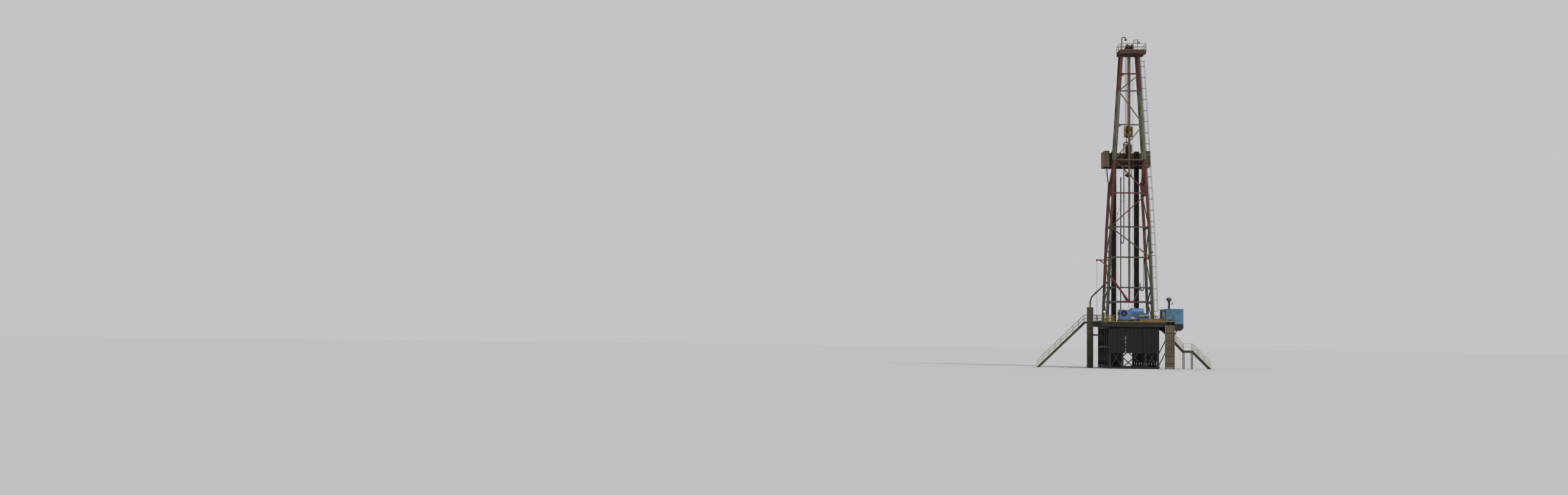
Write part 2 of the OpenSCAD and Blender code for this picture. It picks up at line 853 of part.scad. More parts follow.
drum_grooves = 12;
module drawworks_drum() {
  l = drum_right - drum_left;
  color(steel_grey) on_site()
    translate([drum_left, drum_y, drum_z])
      rotate([0, 90, 0]) {
        translate([0, 0, -case_w - 60])
          cylinder(r = drum_shaft, h = l + case_w + 160, $fn = 32);
        translate([0, 0, -case_w - 90]) cylinder(r = 110, h = 80, $fn = 32);
        cylinder(r = drum_r, h = l, $fn = 48);
        for (z = [0, l - 40])
          translate([0, 0, z]) cylinder(r = drum_flange_r, h = 40, $fn = 48);
        for (i = [1:drum_grooves])
          translate([0, 0, 40 + (l - 80) * (i - 0.5) / drum_grooves - line_d])
            cylinder(r = drum_r + line_d, h = 2 * line_d, $fn = 48);
      }
}

// Half width between the leg centres at height z
function leg_x(z) = z < knee_z
  ? leg_x_floor + (leg_x_knee - leg_x_floor) * (z - floor_h) / (knee_z - floor_h)
  : leg_x_knee + (leg_x_top - leg_x_knee) * (z - knee_z) / (head_z - knee_z);

// One right-hand leg between two heights: a wide-flange beam cut level at both ends
module leg(y, z0, z1) {
  for (s = [-1, 1])
    upright(y + s * (leg_w - leg_flange) / 2, leg_flange)
      polygon([
        [leg_x(z0) - leg_w / 2, z0], [leg_x(z0) + leg_w / 2, z0],
        [leg_x(z1) + leg_w / 2, z1], [leg_x(z1) - leg_w / 2, z1]
      ]);
  upright(y, leg_w - leg_flange)
    polygon([
      [leg_x(z0) - leg_web / 2, z0], [leg_x(z0) + leg_web / 2, z0],
      [leg_x(z1) + leg_web / 2, z1], [leg_x(z1) - leg_web / 2, z1]
    ]);
}

// Braces of the right side, drawn by Y and Z between faces y0 and y1 in the leg plane
module side_braces(z0, z1, y0, y1, lines) {
  lean = atan2(leg_x(z0) - leg_x(z1), z1 - z0);
  translate([leg_x(z0), 0, z0])
    rotate([0, -lean, 0])
      upright_side(0, mast_bar)
        intersection() {
          translate([y0, 0]) square([y1 - y0, (z1 - z0) / cos(lean)]);
          for (l = lines)
            strip([l[0], (l[1] - z0) / cos(lean)], [l[2], (l[3] - z0) / cos(lean)], l[4]);
        }
}

// Zigzag and girts between two leg faces for a list of levels
function zigzag(levels, y0, y1) = concat(
  [for (i = [0:len(levels) - 2])
    i % 2 == 0
      ? [y0, levels[i], y1, levels[i + 1], mast_bar]
      : [y1, levels[i], y0, levels[i + 1], mast_bar]],
  [for (z = levels) [y0, z, y1, z, girt_h]]
);

rear_face = -leg_rear + leg_w / 2 - leg_flange / 2;
lower_front_face = leg_lower_front - leg_w / 2 + leg_flange / 2;
upper_front_face = leg_upper_front - leg_w / 2 + leg_flange / 2;
girt_in = girt_h / 2 + 4;
module mast_base_sides() {
  levels = concat([foot_top + girt_in], base_girts, [knee_z - girt_in]);
  color(mast_green) on_site()
    both_sides() {
      leg(-leg_rear, foot_top, knee_z);
      leg(leg_lower_front, foot_top, knee_z);
      side_braces(foot_top, knee_z, rear_face, lower_front_face,
            zigzag(levels, rear_face, lower_front_face));
    }
}

module mast_lower_sides() {
  mid = lower_girts[1];
  color(mast_red) on_site()
    both_sides() {
      leg(-leg_rear, knee_z, second_z);
      leg(leg_lower_front, knee_z, shoulder_z);
      leg(leg_upper_front, mid - girt_h, second_z);
      side_braces(knee_z, mid - girt_h, rear_face, lower_front_face,
            zigzag([knee_z + girt_in, mid - girt_h], rear_face, lower_front_face));
      side_braces(mid - girt_h, second_z, rear_face, upper_front_face,
            zigzag([mid, shoulder_z, second_z - girt_in], rear_face, upper_front_face));
      side_braces(mid - girt_h, second_z, leg_upper_front + leg_w / 2 - leg_flange / 2,
            leg_lower_front, [
        [leg_upper_front, mid - girt_h / 2, lower_front_face, mid - girt_h / 2, girt_h],
        [leg_upper_front, mid, lower_front_face, shoulder_z - mast_bar, mast_bar],
        [lower_front_face, shoulder_z - mast_bar, leg_upper_front, second_z - girt_h, mast_bar]
      ]);
    }
}

module mast_middle_sides() {
  color(mast_pale) on_site()
    both_sides() {
      leg(-leg_rear, second_z, third_z);
      leg(leg_upper_front, second_z, third_z);
      side_braces(second_z, third_z, rear_face, upper_front_face, zigzag(
        [second_z + girt_in, (second_z + middle_girts[1]) / 2, middle_girts[1],
        (third_z + middle_girts[1]) / 2, third_z - girt_in], rear_face, upper_front_face));
    }
}

module mast_top_sides() {
  color(mast_red) on_site()
    both_sides() {
      leg(-leg_rear, third_z, head_z);
      leg(leg_upper_front, third_z, head_z);
      side_braces(third_z, head_z, rear_face, upper_front_face, zigzag(
        [third_z + girt_in, top_girts[1], head_z - girt_in], rear_face, upper_front_face));
    }
}

// Mast shoes: a base plate, a pair of lugs with a pin, and the leg's bearing block
shoe_w = 340;
shoe_plate = 24;
module mast_shoe(y) {
  translate([leg_x(foot_top), y, floor_h]) {
    translate([-shoe_w / 2, -shoe_w / 2, 0]) cube([shoe_w, shoe_w, shoe_plate]);
    translate([-leg_w / 2, -leg_w / 2, 0]) cube([leg_w, leg_w, foot_h]);
    for (x = [-leg_w / 2, leg_w / 2 - shoe_plate], s = [-1, 1])
      upright_side(x + shoe_plate / 2, shoe_plate)
        polygon([[0, 0], [s * shoe_w / 2, 0], [s * shoe_w / 2, shoe_plate * 1.5], [0, foot_h]]);
    rotate([0, 90, 0])
      translate([-foot_h * 0.55, 0, -leg_w / 2 - 26])
        cylinder(d = 50, h = leg_w + 52, $fn = 32);
  }
}

module mast_feet() {
  color(steel_grey) on_site()
    both_sides() {
      mast_shoe(-leg_rear);
      mast_shoe(leg_lower_front);
    }
}

// Web faces of the rear legs, between which the rear bracing fits
function web_x(z) = leg_x(z) - leg_web / 2 - play;

// Level girt between the rear legs
module rear_girt(z, h, depth = mast_bar) {
  upright(-leg_rear, depth)
    polygon([
      [-web_x(z - h / 2), z - h / 2], [web_x(z - h / 2), z - h / 2],
      [web_x(z + h / 2), z + h / 2], [-web_x(z + h / 2), z + h / 2]
    ]);
}

// Diagonal between two girts, rising to the right or falling
module rear_diagonal(z0, z1, rising, h0 = girt_h, h1 = girt_h) {
  low = z0 + h0 / 2 + play;
  high = z1 - h1 / 2 - play;
  s = rising ? 1 : -1;
  upright(-leg_rear, mast_bar)
    intersection() {
      polygon([[-web_x(low), low], [web_x(low), low], [web_x(high), high], [-web_x(high), high]]);
      strip([-s * (web_x(low) + mast_bar), low - mast_bar], [s * (web_x(high) + mast_bar), high + mast_bar],
         mast_bar);
    }
}

heavy_h = 150;
v_brace_x = 775;
module rear_bracing_lower() {
  color(mast_green) on_site() {
    rear_girt(heavy_z, heavy_h, mast_bar * 1.5);
    for (z = [base_girts[1], base_girts[2], knee_z])
      rear_girt(z, girt_h);
    rear_diagonal(base_girts[2], knee_z, false);
    both_sides()
      upright(-leg_rear, mast_bar)
        intersection() {
          translate([0, heavy_z + heavy_h / 2 + play])
            square([v_brace_x * 2, base_girts[1] - heavy_z - (heavy_h + girt_h) / 2 - 2 * play]);
          strip([v_brace_x + 60, base_girts[1]], [v_brace_x / 3, heavy_z], mast_bar);
        }
    rear_girt(lower_girts[1], girt_h);
    rear_diagonal(knee_z, lower_girts[1], true);
  }
}

module rear_bracing_upper() {
  color(mast_pale) on_site() {
    for (z = [second_z, middle_girts[1], third_z, top_girts[1], head_z - girt_h / 2])
      rear_girt(z, girt_h);
    rear_diagonal(lower_girts[1], second_z, false);
    rear_diagonal(second_z, middle_girts[1], true);
    rear_diagonal(middle_girts[1], third_z, false);
    rear_diagonal(third_z, top_girts[1], true);
  }
}

// Caged ladder up the outside of the right rear leg
ladder_w = 260;
ladder_rail = 30;
rung_pitch = 300;
hoop_r = 190;
hoop_pitch = 900;
ladder_gap = 60;
ladder_low = floor_h + 400;
module ladder_run(z0, z1) {
  lean = atan2(leg_x(z0) - leg_x(z1), z1 - z0);
  l = (z1 - z0) / cos(lean);
  off = leg_w / 2 + ladder_gap;
  translate([leg_x(z0) + off, -leg_rear, z0])
    rotate([0, -lean, 0]) {
      for (s = [-1, 1])
        translate([0, s * ladder_w / 2 - ladder_rail / 2, 0])
          cube([ladder_rail / 2, ladder_rail, l]);
      for (z = [rung_pitch / 2:rung_pitch:l - 40])
        translate([0, -ladder_w / 2, z]) cube([ladder_rail / 2, ladder_w, ladder_rail / 2]);
      for (z = [hoop_pitch / 2:hoop_pitch:l - 60])
        translate([0, 0, z])
          linear_extrude(ladder_rail) {
            difference() {
              translate([hoop_r - 60, 0]) circle(r = hoop_r, $fn = 12);
              translate([hoop_r - 60, 0]) circle(r = hoop_r - ladder_rail / 2, $fn = 12);
              translate([-hoop_r, -hoop_r]) square([hoop_r, 2 * hoop_r]);
            }
            translate([-ladder_gap + play, -leg_w / 2]) square([ladder_gap, leg_w]);
            translate([0, -ladder_w / 2]) square([ladder_rail / 2, ladder_w]);
          }
      for (a = [-50, 0, 50])
        translate([hoop_r - 60 + (hoop_r - ladder_rail / 3) * cos(a), (hoop_r - ladder_rail / 3) * sin(a),
             hoop_pitch / 2])
          translate([-6, -12, 0]) cube([12, 24, l - hoop_pitch]);
    }
}

module mast_ladder() {
  color(stair_cream) on_site() {
    ladder_run(ladder_low, knee_z);
    ladder_run(knee_z + play, head_z - girt_h);
  }
}

// Crown: beams on the leg tops, sheaves in bearings, deck, rails and poles
crown_top = head_z + crown_beam_h;
crown_plate = 30;
rope_r = sheave_r + line_d / 2;
rim_r = rope_r + 5;
sheave_z = crown_top + rim_r + 10;
rear_sheave_y = -leg_rear - leg_w / 2 - 60 + rope_r;
outer_sheave = (crown_sheave_n + 1) / 2 * sheave_pitch;
bearing_x = outer_sheave + sheave_pitch / 2 + 10;
bearing_w = 40;
shaft_r = 40;
module crown_frame() {
  color(mast_red) on_site()
    translate([0, 0, head_z])
      linear_extrude(crown_beam_h)
        difference() {
          crown_grid();
          translate([hatch_x, hatch_y]) square(hatch_w);
        }
}

// Beams of the crown in plan, with a kerb round the hatch
hatch_w = 420;
hatch_x = leg_x_top + leg_w / 2;
hatch_y = -leg_rear - hatch_w / 2;
module crown_grid() {
  translate([hatch_x - leg_flange, hatch_y - leg_flange]) square(hatch_w + 2 * leg_flange);
  for (y = [-leg_rear - leg_w / 2, leg_upper_front - leg_w / 2])
    translate([-crown_left, y]) square([crown_left + crown_right, leg_w]);
  for (x = [-leg_x_top, leg_x_top])
    translate([x - leg_w / 2, -crown_rear]) square([leg_w, crown_rear + crown_front]);
  for (x = [-bearing_x - bearing_w, bearing_x - bearing_w / 2])
    translate([x, -leg_rear]) square([bearing_w * 1.5, leg_rear + leg_upper_front]);
  translate([-bearing_x, -rail_beam_y - rail_beam_d / 2]) square([2 * bearing_x, rail_beam_d]);
  for (y = [-crown_rear, crown_front - leg_flange])
    translate([-crown_left, y]) square([crown_left + crown_right, leg_flange]);
}

// Grooved sheave about X, centred on the rope's plane
module sheave() {
  rotate([0, 90, 0])
    rotate_extrude($fn = 64)
      polygon([
        [shaft_r, -sheave_w / 2], [shaft_r * 2, -sheave_w / 2], [shaft_r * 2, -sheave_w / 5],
        [sheave_r - 50, -sheave_w / 5], [sheave_r - 36, -sheave_w / 2], [rim_r, -sheave_w / 2],
        [sheave_r - play, -line_d / 2 - 1], [sheave_r - play, line_d / 2 + 1],
        [rim_r, sheave_w / 2], [sheave_r - 36, sheave_w / 2], [sheave_r - 50, sheave_w / 5],
        [shaft_r * 2, sheave_w / 5], [shaft_r * 2, sheave_w / 2], [shaft_r, sheave_w / 2]
      ]);
}

// Rope laid on a sheave through an angle, from the front side over the top
module wrap(from, turn) {
  rotate([0, -90, 0])
    rotate([0, 0, from])
      rotate_extrude(angle = turn, $fn = 64)
        translate([rope_r, 0]) circle(d = line_d, $fn = 16);
}

module bearing(h) {
  upright_side(0, bearing_w)
    difference() {
      union() {
        circle(r = shaft_r * 2.2, $fn = 32);
        polygon([[-shaft_r * 2.2, 0], [shaft_r * 2.2, 0], [shaft_r * 4, -h], [-shaft_r * 4, -h]]);
      }
      circle(r = shaft_r + play, $fn = 32);
    }
}

cluster_x = [for (i = [0:crown_sheave_n]) (i - crown_sheave_n / 2) * sheave_pitch];
outer_x = cluster_x[crown_sheave_n];
module crown_sheaves() {
  color(mast_red) on_site()
    translate([0, 0, sheave_z]) {
      for (x = cluster_x) {
        translate([x, 0, 0]) {
          sheave();
          wrap(-90, abs(x) == outer_x ? 90 : 180);
        }
      }
      rotate([0, 90, 0])
        translate([0, 0, -bearing_x - bearing_w])
          cylinder(r = shaft_r, h = 2 * (bearing_x + bearing_w), $fn = 32);
      for (x = [-bearing_x, bearing_x])
        translate([x, 0, 0]) bearing(sheave_z - crown_top);
      for (x = [-outer_x, outer_x]) {
        translate([x, rear_sheave_y, 0]) {
          sheave();
          wrap(0, 90);
          rotate([0, 90, 0])
            translate([0, 0, -sheave_w]) cylinder(r = shaft_r, h = 2 * sheave_w, $fn = 32);
          for (s = [-1, 1])
            translate([s * (sheave_w / 2 + bearing_w / 2 + 2), 0, 0])
              bearing(sheave_z - crown_top);
        }
        translate([x, rear_sheave_y, rope_r])
          rotate([-90, 0, 0]) cylinder(d = line_d, h = -rear_sheave_y, $fn = 16);
      }
    }
}

module crown_deck() {
  inner = bearing_x + bearing_w;
  color(steel_grey) on_site()
    translate([0, 0, crown_top])
      linear_extrude(crown_plate)
        difference() {
          translate([-crown_left, -crown_rear])
            square([crown_left + crown_right, crown_rear + crown_front]);
          translate([-inner, -leg_rear - leg_w / 2 - 90])
            square([2 * inner, leg_rear + leg_w / 2 + 90 + rope_r + 40]);
          translate([hatch_x, hatch_y]) square(hatch_w);
        }
}

module crown_rails() {
  base = crown_top + crown_plate;
  w = crown_left + crown_right;
  color(stair_cream) on_site()
    translate([0, 0, base]) {
      for (y = [-crown_rear + rail_w / 2, crown_front - rail_w / 2])
        upright(y, rail_w)
          translate([-crown_left, 0]) rail_panel(w);
      for (x = [-crown_left + rail_w / 2, crown_right - rail_w / 2])
        upright_side(x, rail_w)
          translate([-crown_rear + rail_w + play, 0])
            rail_panel(crown_rear + crown_front - 2 * rail_w - 2 * play);
    }
}

// Gin pole at the left and the lamp frame at the right of the crown
pole_w = 70;
pole_x = -450;
pole_y = 420;
frame_x = [525, 825];
frame_top = 26860;
mast_lamp_x = 950;
module gin_pole() {
  base = crown_top + crown_plate;
  bend = 160;
  color(mast_red) on_site() {
    translate([pole_x, pole_y, base]) {
      translate([-pole_w / 2, -pole_w / 2, 0])
        cube([pole_w, pole_w, pole_top - base - bend - pole_w / 2]);
      translate([bend, 0, pole_top - base - bend - pole_w / 2])
        rotate([90, 0, 0])
          rotate_extrude(angle = 180, $fn = 48)
            translate([bend, 0]) square(pole_w, center = true);
      translate([2 * bend, 0, pole_top - base - bend - pole_w / 2 - 60])
        rotate([90, 0, 0])
          translate([0, 0, -pole_w / 2]) cylinder(r = 90, h = pole_w, $fn = 32);
    }
    for (x = frame_x)
      block([x - pole_w / 4, pole_y - pole_w / 4, base], [x + pole_w / 4, pole_y + pole_w / 4, frame_top]);
    for (z = [frame_top - 200, frame_top - pole_w / 2])
      block([frame_x[0], pole_y - pole_w / 4, z], [mast_lamp_x, pole_y + pole_w / 4, z + pole_w / 2]);
    translate([mast_lamp_x, pole_y, frame_top - 330])
      cylinder(r1 = 80, r2 = 50, h = 130, $fn = 32);
  }
}

// Racking board: outer frame, walkway, fingers and the struts to the mast
board_t = 60;
finger_w = 26;
board_walk = 150;
finger_in = 600;
dive_x = 250;
first_row = 520;
board_legs = leg_x(board_z);
board_side = board_x - wall_t - play;
dive_y = [board_near + 2 * finger_w + play, board_far - board_walk - wall_t - 2 * play];
board_rows = floor((dive_y[1] - first_row) / finger_pitch - 1);
carrier_x = leg_x(shoulder_z - 50) + leg_w / 2 + play;
carrier_w = 70;
carrier_z = board_z - 3 * board_t;
carrier_top = board_z - board_t - play;
near_face = leg_upper_front - leg_w / 2;
module racking_board() {
  color(frame_dark) on_site() {
    translate([0, 0, board_z - board_t])
      linear_extrude(board_t) {
        translate([-board_side, board_near]) square([2 * board_side, 2 * finger_w]);
        translate([-board_side, dive_y[1] + play]) square([2 * board_side, board_walk]);
        translate([-dive_x, dive_y[0]]) square([2 * dive_x, dive_y[1] - dive_y[0]]);
        both_sides()
          translate([board_side - board_walk, dive_y[0]])
            square([board_walk, dive_y[1] - dive_y[0]]);
      }
    both_sides() {
      block([carrier_x, near_face, carrier_z],
            [carrier_x + carrier_w, board_far - wall_t - play, carrier_top]);
      block([leg_x(carrier_z) + leg_w / 2 + play, near_face, carrier_z],
            [carrier_x, near_face + leg_w, carrier_top]);
      upright_side(carrier_x + carrier_w / 2, carrier_w)
        strip([leg_lower_front, shoulder_z], [board_far - 300, carrier_z + board_t], mast_bar);
    }
  }
}

// Fingers between which the stands of pipe lean
module racking_fingers() {
  color(steel_grey) on_site()
    both_sides()
      for (i = [0:board_rows])
        block([finger_in, first_row + i * finger_pitch, board_z - board_t],
              [board_side - board_walk - play, first_row + i * finger_pitch + finger_w, board_z]);
}

wall_low_z = board_z - 200;
module racking_walls() {
  color(mast_pale) on_site()
    translate([0, 0, wall_low_z]) {
      translate([-board_x, board_far - wall_t, 0]) cube([2 * board_x, wall_t, wall_h]);
      both_sides() {
        translate([board_x - wall_t, board_near, 0])
          cube([wall_t, board_far - board_near - wall_t - play, wall_h]);
        translate([carrier_x + carrier_w + play, board_near - wall_t - play, 0])
          cube([board_x - carrier_x - carrier_w - play, wall_t, wall_h]);
      }
    }
}

stand_cols = 4;
stand_rows = 5;
stand_row0 = 6;
tool_l = 130;
module stand() {
  n = 3;
  l = stand_l / n;
  rotate_extrude($fn = 20)
    polygon(concat(
      [[0, 0], [joint_d / 2, 0], [joint_d / 2, tool_l], [pipe_d / 2, tool_l + 10]],
      [for (i = [1:n - 1], p = [[pipe_d, -tool_l - 10], [joint_d, -tool_l], [joint_d, tool_l],
                   [pipe_d, tool_l + 10]]) [p[0] / 2, i * l + p[1]]],
      [[pipe_d / 2, stand_l - tool_l - 10], [joint_d / 2, stand_l - tool_l], [joint_d / 2, stand_l],
      [0, stand_l]]
    ));
}

module racked_pipe() {
  color(pipe_dark) on_site()
    both_sides()
      for (i = [0:stand_cols - 1], j = [0:stand_rows - 1])
        translate([stand_x + i * stand_pitch,
             first_row + (stand_row0 + j + 0.5) * finger_pitch + finger_w / 2, floor_h])
          stand();
}

// Guide rail for the travelling assembly, held off the rear girts
module torque_rail() {
  back = -rail_beam_y - rail_beam_d / 2;
  bracket = 60;
  color(rope_brown) on_site() {
    block([-rail_beam_w / 2, back, heavy_z - heavy_h / 2],
       [rail_beam_w / 2, back + rail_beam_d, head_z]);
    block([-bracket / 2, -leg_rear + mast_bar * 0.75, heavy_z - bracket / 2],
       [bracket / 2, back, heavy_z + bracket / 2]);
    for (z = [base_girts[1], base_girts[2], knee_z, lower_girts[1], second_z, middle_girts[1],
         third_z, top_girts[1]])
      block([-bracket / 2, -leg_rear + mast_bar / 2, z - bracket / 2],
         [bracket / 2, back, z + bracket / 2]);
  }
}

// Standpipe with its clamps and gooseneck
hose_start = [-675, -455, 15220];
hose_end = [-330, 150, 18080];
union_d = 110;
union_l = 80;
module gooseneck(a, b, z, d) {
  r = norm(b - a) / 2;
  translate([(a[0] + b[0]) / 2, (a[1] + b[1]) / 2, z])
    rotate([0, 0, atan2(b[1] - a[1], b[0] - a[0])])
      rotate([90, 0, 0])
        rotate_extrude(angle = 180, $fn = 48) translate([r, 0]) circle(d = d, $fn = 32);
}

module standpipe() {
  a = [-standpipe_x, -standpipe_y];
  b = [hose_start[0], hose_start[1]];
  top = hose_start[2] + union_l;
  color(pipe_dark) on_site() {
    translate([a[0], a[1], floor_h]) cylinder(d = standpipe_d, h = top - floor_h, $fn = 32);
    translate([a[0], a[1], top - union_l]) cylinder(d = union_d, h = union_l, $fn = 32);
    gooseneck(a, b, top, standpipe_d - 4);
    translate([b[0], b[1], hose_start[2]]) cylinder(d = union_d, h = union_l, $fn = 32);
    block([a[0] - 90, a[1] - 45, floor_h], [a[0] + 90, a[1] + 45, floor_h + 260]);
    block([a[0] - 55, -leg_rear + mast_bar * 0.75, heavy_z - 30], [a[0] + 55, a[1], heavy_z + 30]);
    for (z = [base_girts[1], base_girts[2], knee_z, lower_girts[1]])
      block([a[0] - 55, -leg_rear + mast_bar / 2, z - 30], [a[0] + 55, a[1], z + 30]);
  }
}

// Route of the rotary hose, chosen by hand: down from the standpipe, and up to the swivel
hose_route = concat(
  [for (z = [15220, 14900, 14200, 13400, 12600, 11800, 11000, 10600]) [hose_start[0], hose_start[1], z]],
  [[-650, -410, 10280], [-590, -305, 10150], [-502, -152, 10100], [-415, 0, 10150], [-355, 106, 10280]],
  [for (z = [10600, 11200, 12200, 13400, 14600, 15800, 16800, 17600, 18080]) [hose_end[0], hose_end[1], z]]
);
hose_ring = 210;
hose_sides = 10;

// Point on a smooth curve through b and c, between their neighbours a and d
function spline(a, b, c, d, t) = 0.5 * (2 * b + (c - a) * t + (2 * a - 5 * b + 4 * c - d) * t * t
  + (3 * b - a - 3 * c + d) * t * t * t);
function route_points(p) = concat(
  [for (k = [0:len(p) - 2])
    let (a = p[max(k - 1, 0)], d = p[min(k + 2, len(p) - 1)], n = ceil(norm(p[k + 1] - p[k]) / hose_ring))
      for (i = [0:n - 1]) spline(a, p[k], p[k + 1], d, i / n)],
  [p[len(p) - 1]]
);

module rotary_hose() {
  pts = route_points(hose_route);
  n = len(pts);
  flat = hose_end - hose_start;
  side = [flat[1], -flat[0], 0] / norm([flat[0], flat[1]]);
  rings = [for (k = [0:n - 1])
    let (t = pts[min(k + 1, n - 1)] - pts[max(k - 1, 0)], u = cross(side, t / norm(t)))
      for (j = [0:hose_sides - 1])
        pts[k] + hose_d / 2 * (cos(j * 360 / hose_sides) * side + sin(j * 360 / hose_sides) * u)];
  color(pipe_dark) on_site()
    polyhedron(
      rings,
      concat(
        [[for (j = [0:hose_sides - 1]) j]],
        [for (k = [0:n - 2], j = [0:hose_sides - 1])
          [k * hose_sides + j, (k + 1) * hose_sides + j,
          (k + 1) * hose_sides + (j + 1) % hose_sides, k * hose_sides + (j + 1) % hose_sides]],
        [[for (j = [hose_sides - 1:-1:0]) (n - 1) * hose_sides + j]]
      )
    );
}

block_axle = block_top - rim_r;
becket_z = block_axle - 40;
block_x = [for (i = [1:crown_sheave_n - 1]) cluster_x[i]];
module drilling_lines() {
  color(rope_brown) on_site() {
    for (x = block_x, s = [-1, 1])
      translate([x, s * rope_r, block_axle + play])
        cylinder(d = line_d, h = sheave_z - block_axle - 2 * play, $fn = 16);
    for (x = [-outer_x, outer_x])
      translate([x, rope_r, becket_z + play])
        cylinder(d = line_d, h = sheave_z - becket_z - 2 * play, $fn = 16);
  }
}

// Fast line to the drum and dead line to its anchor on the floor
anchor_h = 420;
anchor_r = 110;
module fast_line() {
  y = rear_sheave_y - rope_r;
  color(rope_brown) on_site() {
    rod([-outer_x, y, sheave_z - play], [-outer_x - 60, drum_y + drum_r + line_d * 1.5 + 1, drum_z],
      line_d, 16);
    translate([outer_x, y, floor_h + anchor_h])
      cylinder(d = line_d, h = sheave_z - floor_h - anchor_h - play, $fn = 16);
    translate([outer_x, y, floor_h]) cylinder(r = anchor_r * 0.6, h = anchor_h, $fn = 32);
    translate([outer_x, y, floor_h]) cylinder(r = anchor_r, h = 60, $fn = 32);
  }
}

cheek_t = 60;
module travelling_block() {
  cheek_in = block_w / 2 - cheek_t;
  drop = block_axle - block_top + block_h;
  color(block_yellow) on_site()
    translate([0, 0, block_axle]) {
      for (x = block_x)
        translate([x, 0, 0]) {
          sheave();
          wrap(90, 180);
        }
      rotate([0, 90, 0])
        translate([0, 0, -block_w / 2]) cylinder(r = shaft_r, h = block_w, $fn = 32);
      for (s = [-1, 1])
        upright_side(s * (block_w - cheek_t) / 2, cheek_t)
          difference() {
            union() {
              circle(r = block_d / 2, $fn = 48);
              polygon([[-block_d / 2, 0], [block_d / 2, 0], [block_d * 0.36, -drop],
                  [-block_d * 0.36, -drop]]);
            }
            circle(r = shaft_r, $fn = 32);
          }
      block([-cheek_in, -block_d * 0.34, -drop], [cheek_in, block_d * 0.34, -rim_r - line_d]);
      for (x = [-outer_x, outer_x])
        block([min(x * 1.4, x - 25), rope_r - 30, -90], [max(x * 1.4, x + 25), rope_r + 20, -40]);
    }
}

// Top drive: bail, swivel, gearbox, motor, stem, pipe handler and the carriage on the rail
drive_w = 450;
drive_d = 460;
gear_low = 17550;
gear_high = 18150;
swivel_r = 110;
ear_z = 17080;
ear_r = 34;
link_x = 250;
module top_drive() {
  block_low = block_top - block_h;
  a = [hose_end[0], hose_end[1]];
  reach = norm(a);
  bend = 120;
  color(pipe_dark) on_site() {
    difference() {
      block([-170, -60, gear_high], [170, 60, block_low]);
      block([-120, -61, gear_high + 60], [120, 61, block_low - 70]);
    }
    translate([0, 0, gear_high]) cylinder(r = swivel_r, h = 60, $fn = 40);
    translate([0, 0, gear_high]) cylinder(r = 52, h = 260, $fn = 32);
    translate([0, 0, gear_high + 225])
      rotate([0, 0, atan2(a[1], a[0])]) {
        rotate([0, 90, 0]) cylinder(d = standpipe_d, h = reach - bend, $fn = 32);
        translate([reach - bend, 0, -bend])
          rotate([90, 0, 0])
            rotate_extrude(angle = 90, $fn = 48)
              translate([bend, 0]) circle(d = standpipe_d, $fn = 32);
      }
    translate([a[0], a[1], hose_end[2]])
      cylinder(d = union_d, h = gear_high + 225 - bend - hose_end[2], $fn = 32);
    block([-drive_w / 2, -drive_d / 2, gear_low], [drive_w / 2, drive_d / 2, gear_high]);
    for (y = [-drive_d / 2 + 10, drive_d / 2 - 150])
      block([-drive_w * 0.4, y, gear_low - 420], [drive_w * 0.4, y + 140, gear_low]);
    translate([0, 0, drive_bottom]) cylinder(r = 45, h = gear_low - drive_bottom, $fn = 32);
    translate([0, 0, ear_z - 110]) cylinder(r = 190, h = 200, $fn = 40);
    rotate([0, 90, 0])
      translate([-ear_z, 0, -link_x - 40]) cylinder(r = ear_r, h = 2 * link_x + 80, $fn = 32);
    translate([0, 0, drive_bottom + 120]) cylinder(r = 130, h = 260, $fn = 40);
    block([-60, -drive_d / 2, gear_low - 250], [60, -drive_d / 2 + 60, gear_low]);
  }
}

// Carriage that keeps the top drive on its rail: arms, and cheeks beside the rail
carriage_h = 220;
cheek_w = 40;
module rail_carriage() {
  slide = 6;
  front = -rail_beam_y + rail_beam_d / 2 + slide;
  side_x = rail_beam_w / 2 + slide;
  color(steel_grey) on_site()
    for (z = [gear_low + 20, gear_high - carriage_h - 20]) {
      block([-side_x - cheek_w, front, z], [side_x + cheek_w, -drive_d / 2 - play, z + carriage_h]);
      for (s = [-1, 1])
        translate([s * (side_x + cheek_w / 2) - cheek_w / 2, front - rail_beam_d - slide, z])
          cube([cheek_w, rail_beam_d + slide - play, carriage_h]);
    }
}

// Elevator on its pair of links, hung from the ears of the pipe handler
link_d = 50;
elevator_h = 300;
elevator_r = 150;
module elevator() {
  eye_r = 72;
  color(pipe_dark) on_site() {
    difference() {
      union() {
        translate([0, 0, elevator_z]) cylinder(r = elevator_r, h = elevator_h, $fn = 40);
        block([-link_x - 20, -60, elevator_z + 90], [link_x + 20, 60, elevator_z + 210]);
      }
      translate([0, 0, elevator_z - 1]) cylinder(d = pipe_d + 8, h = elevator_h + 2, $fn = 32);
    }
    for (s = [-1, 1]) {
      rod([s * link_x, 0, elevator_z + 150], [s * link_x, 0, ear_z - eye_r + 8], link_d, 24);
      upright_side(s * link_x, link_d)
        translate([0, ear_z])
          difference() {
            circle(r = eye_r, $fn = 32);
            circle(r = ear_r + play, $fn = 32);
          }
    }
  }
}

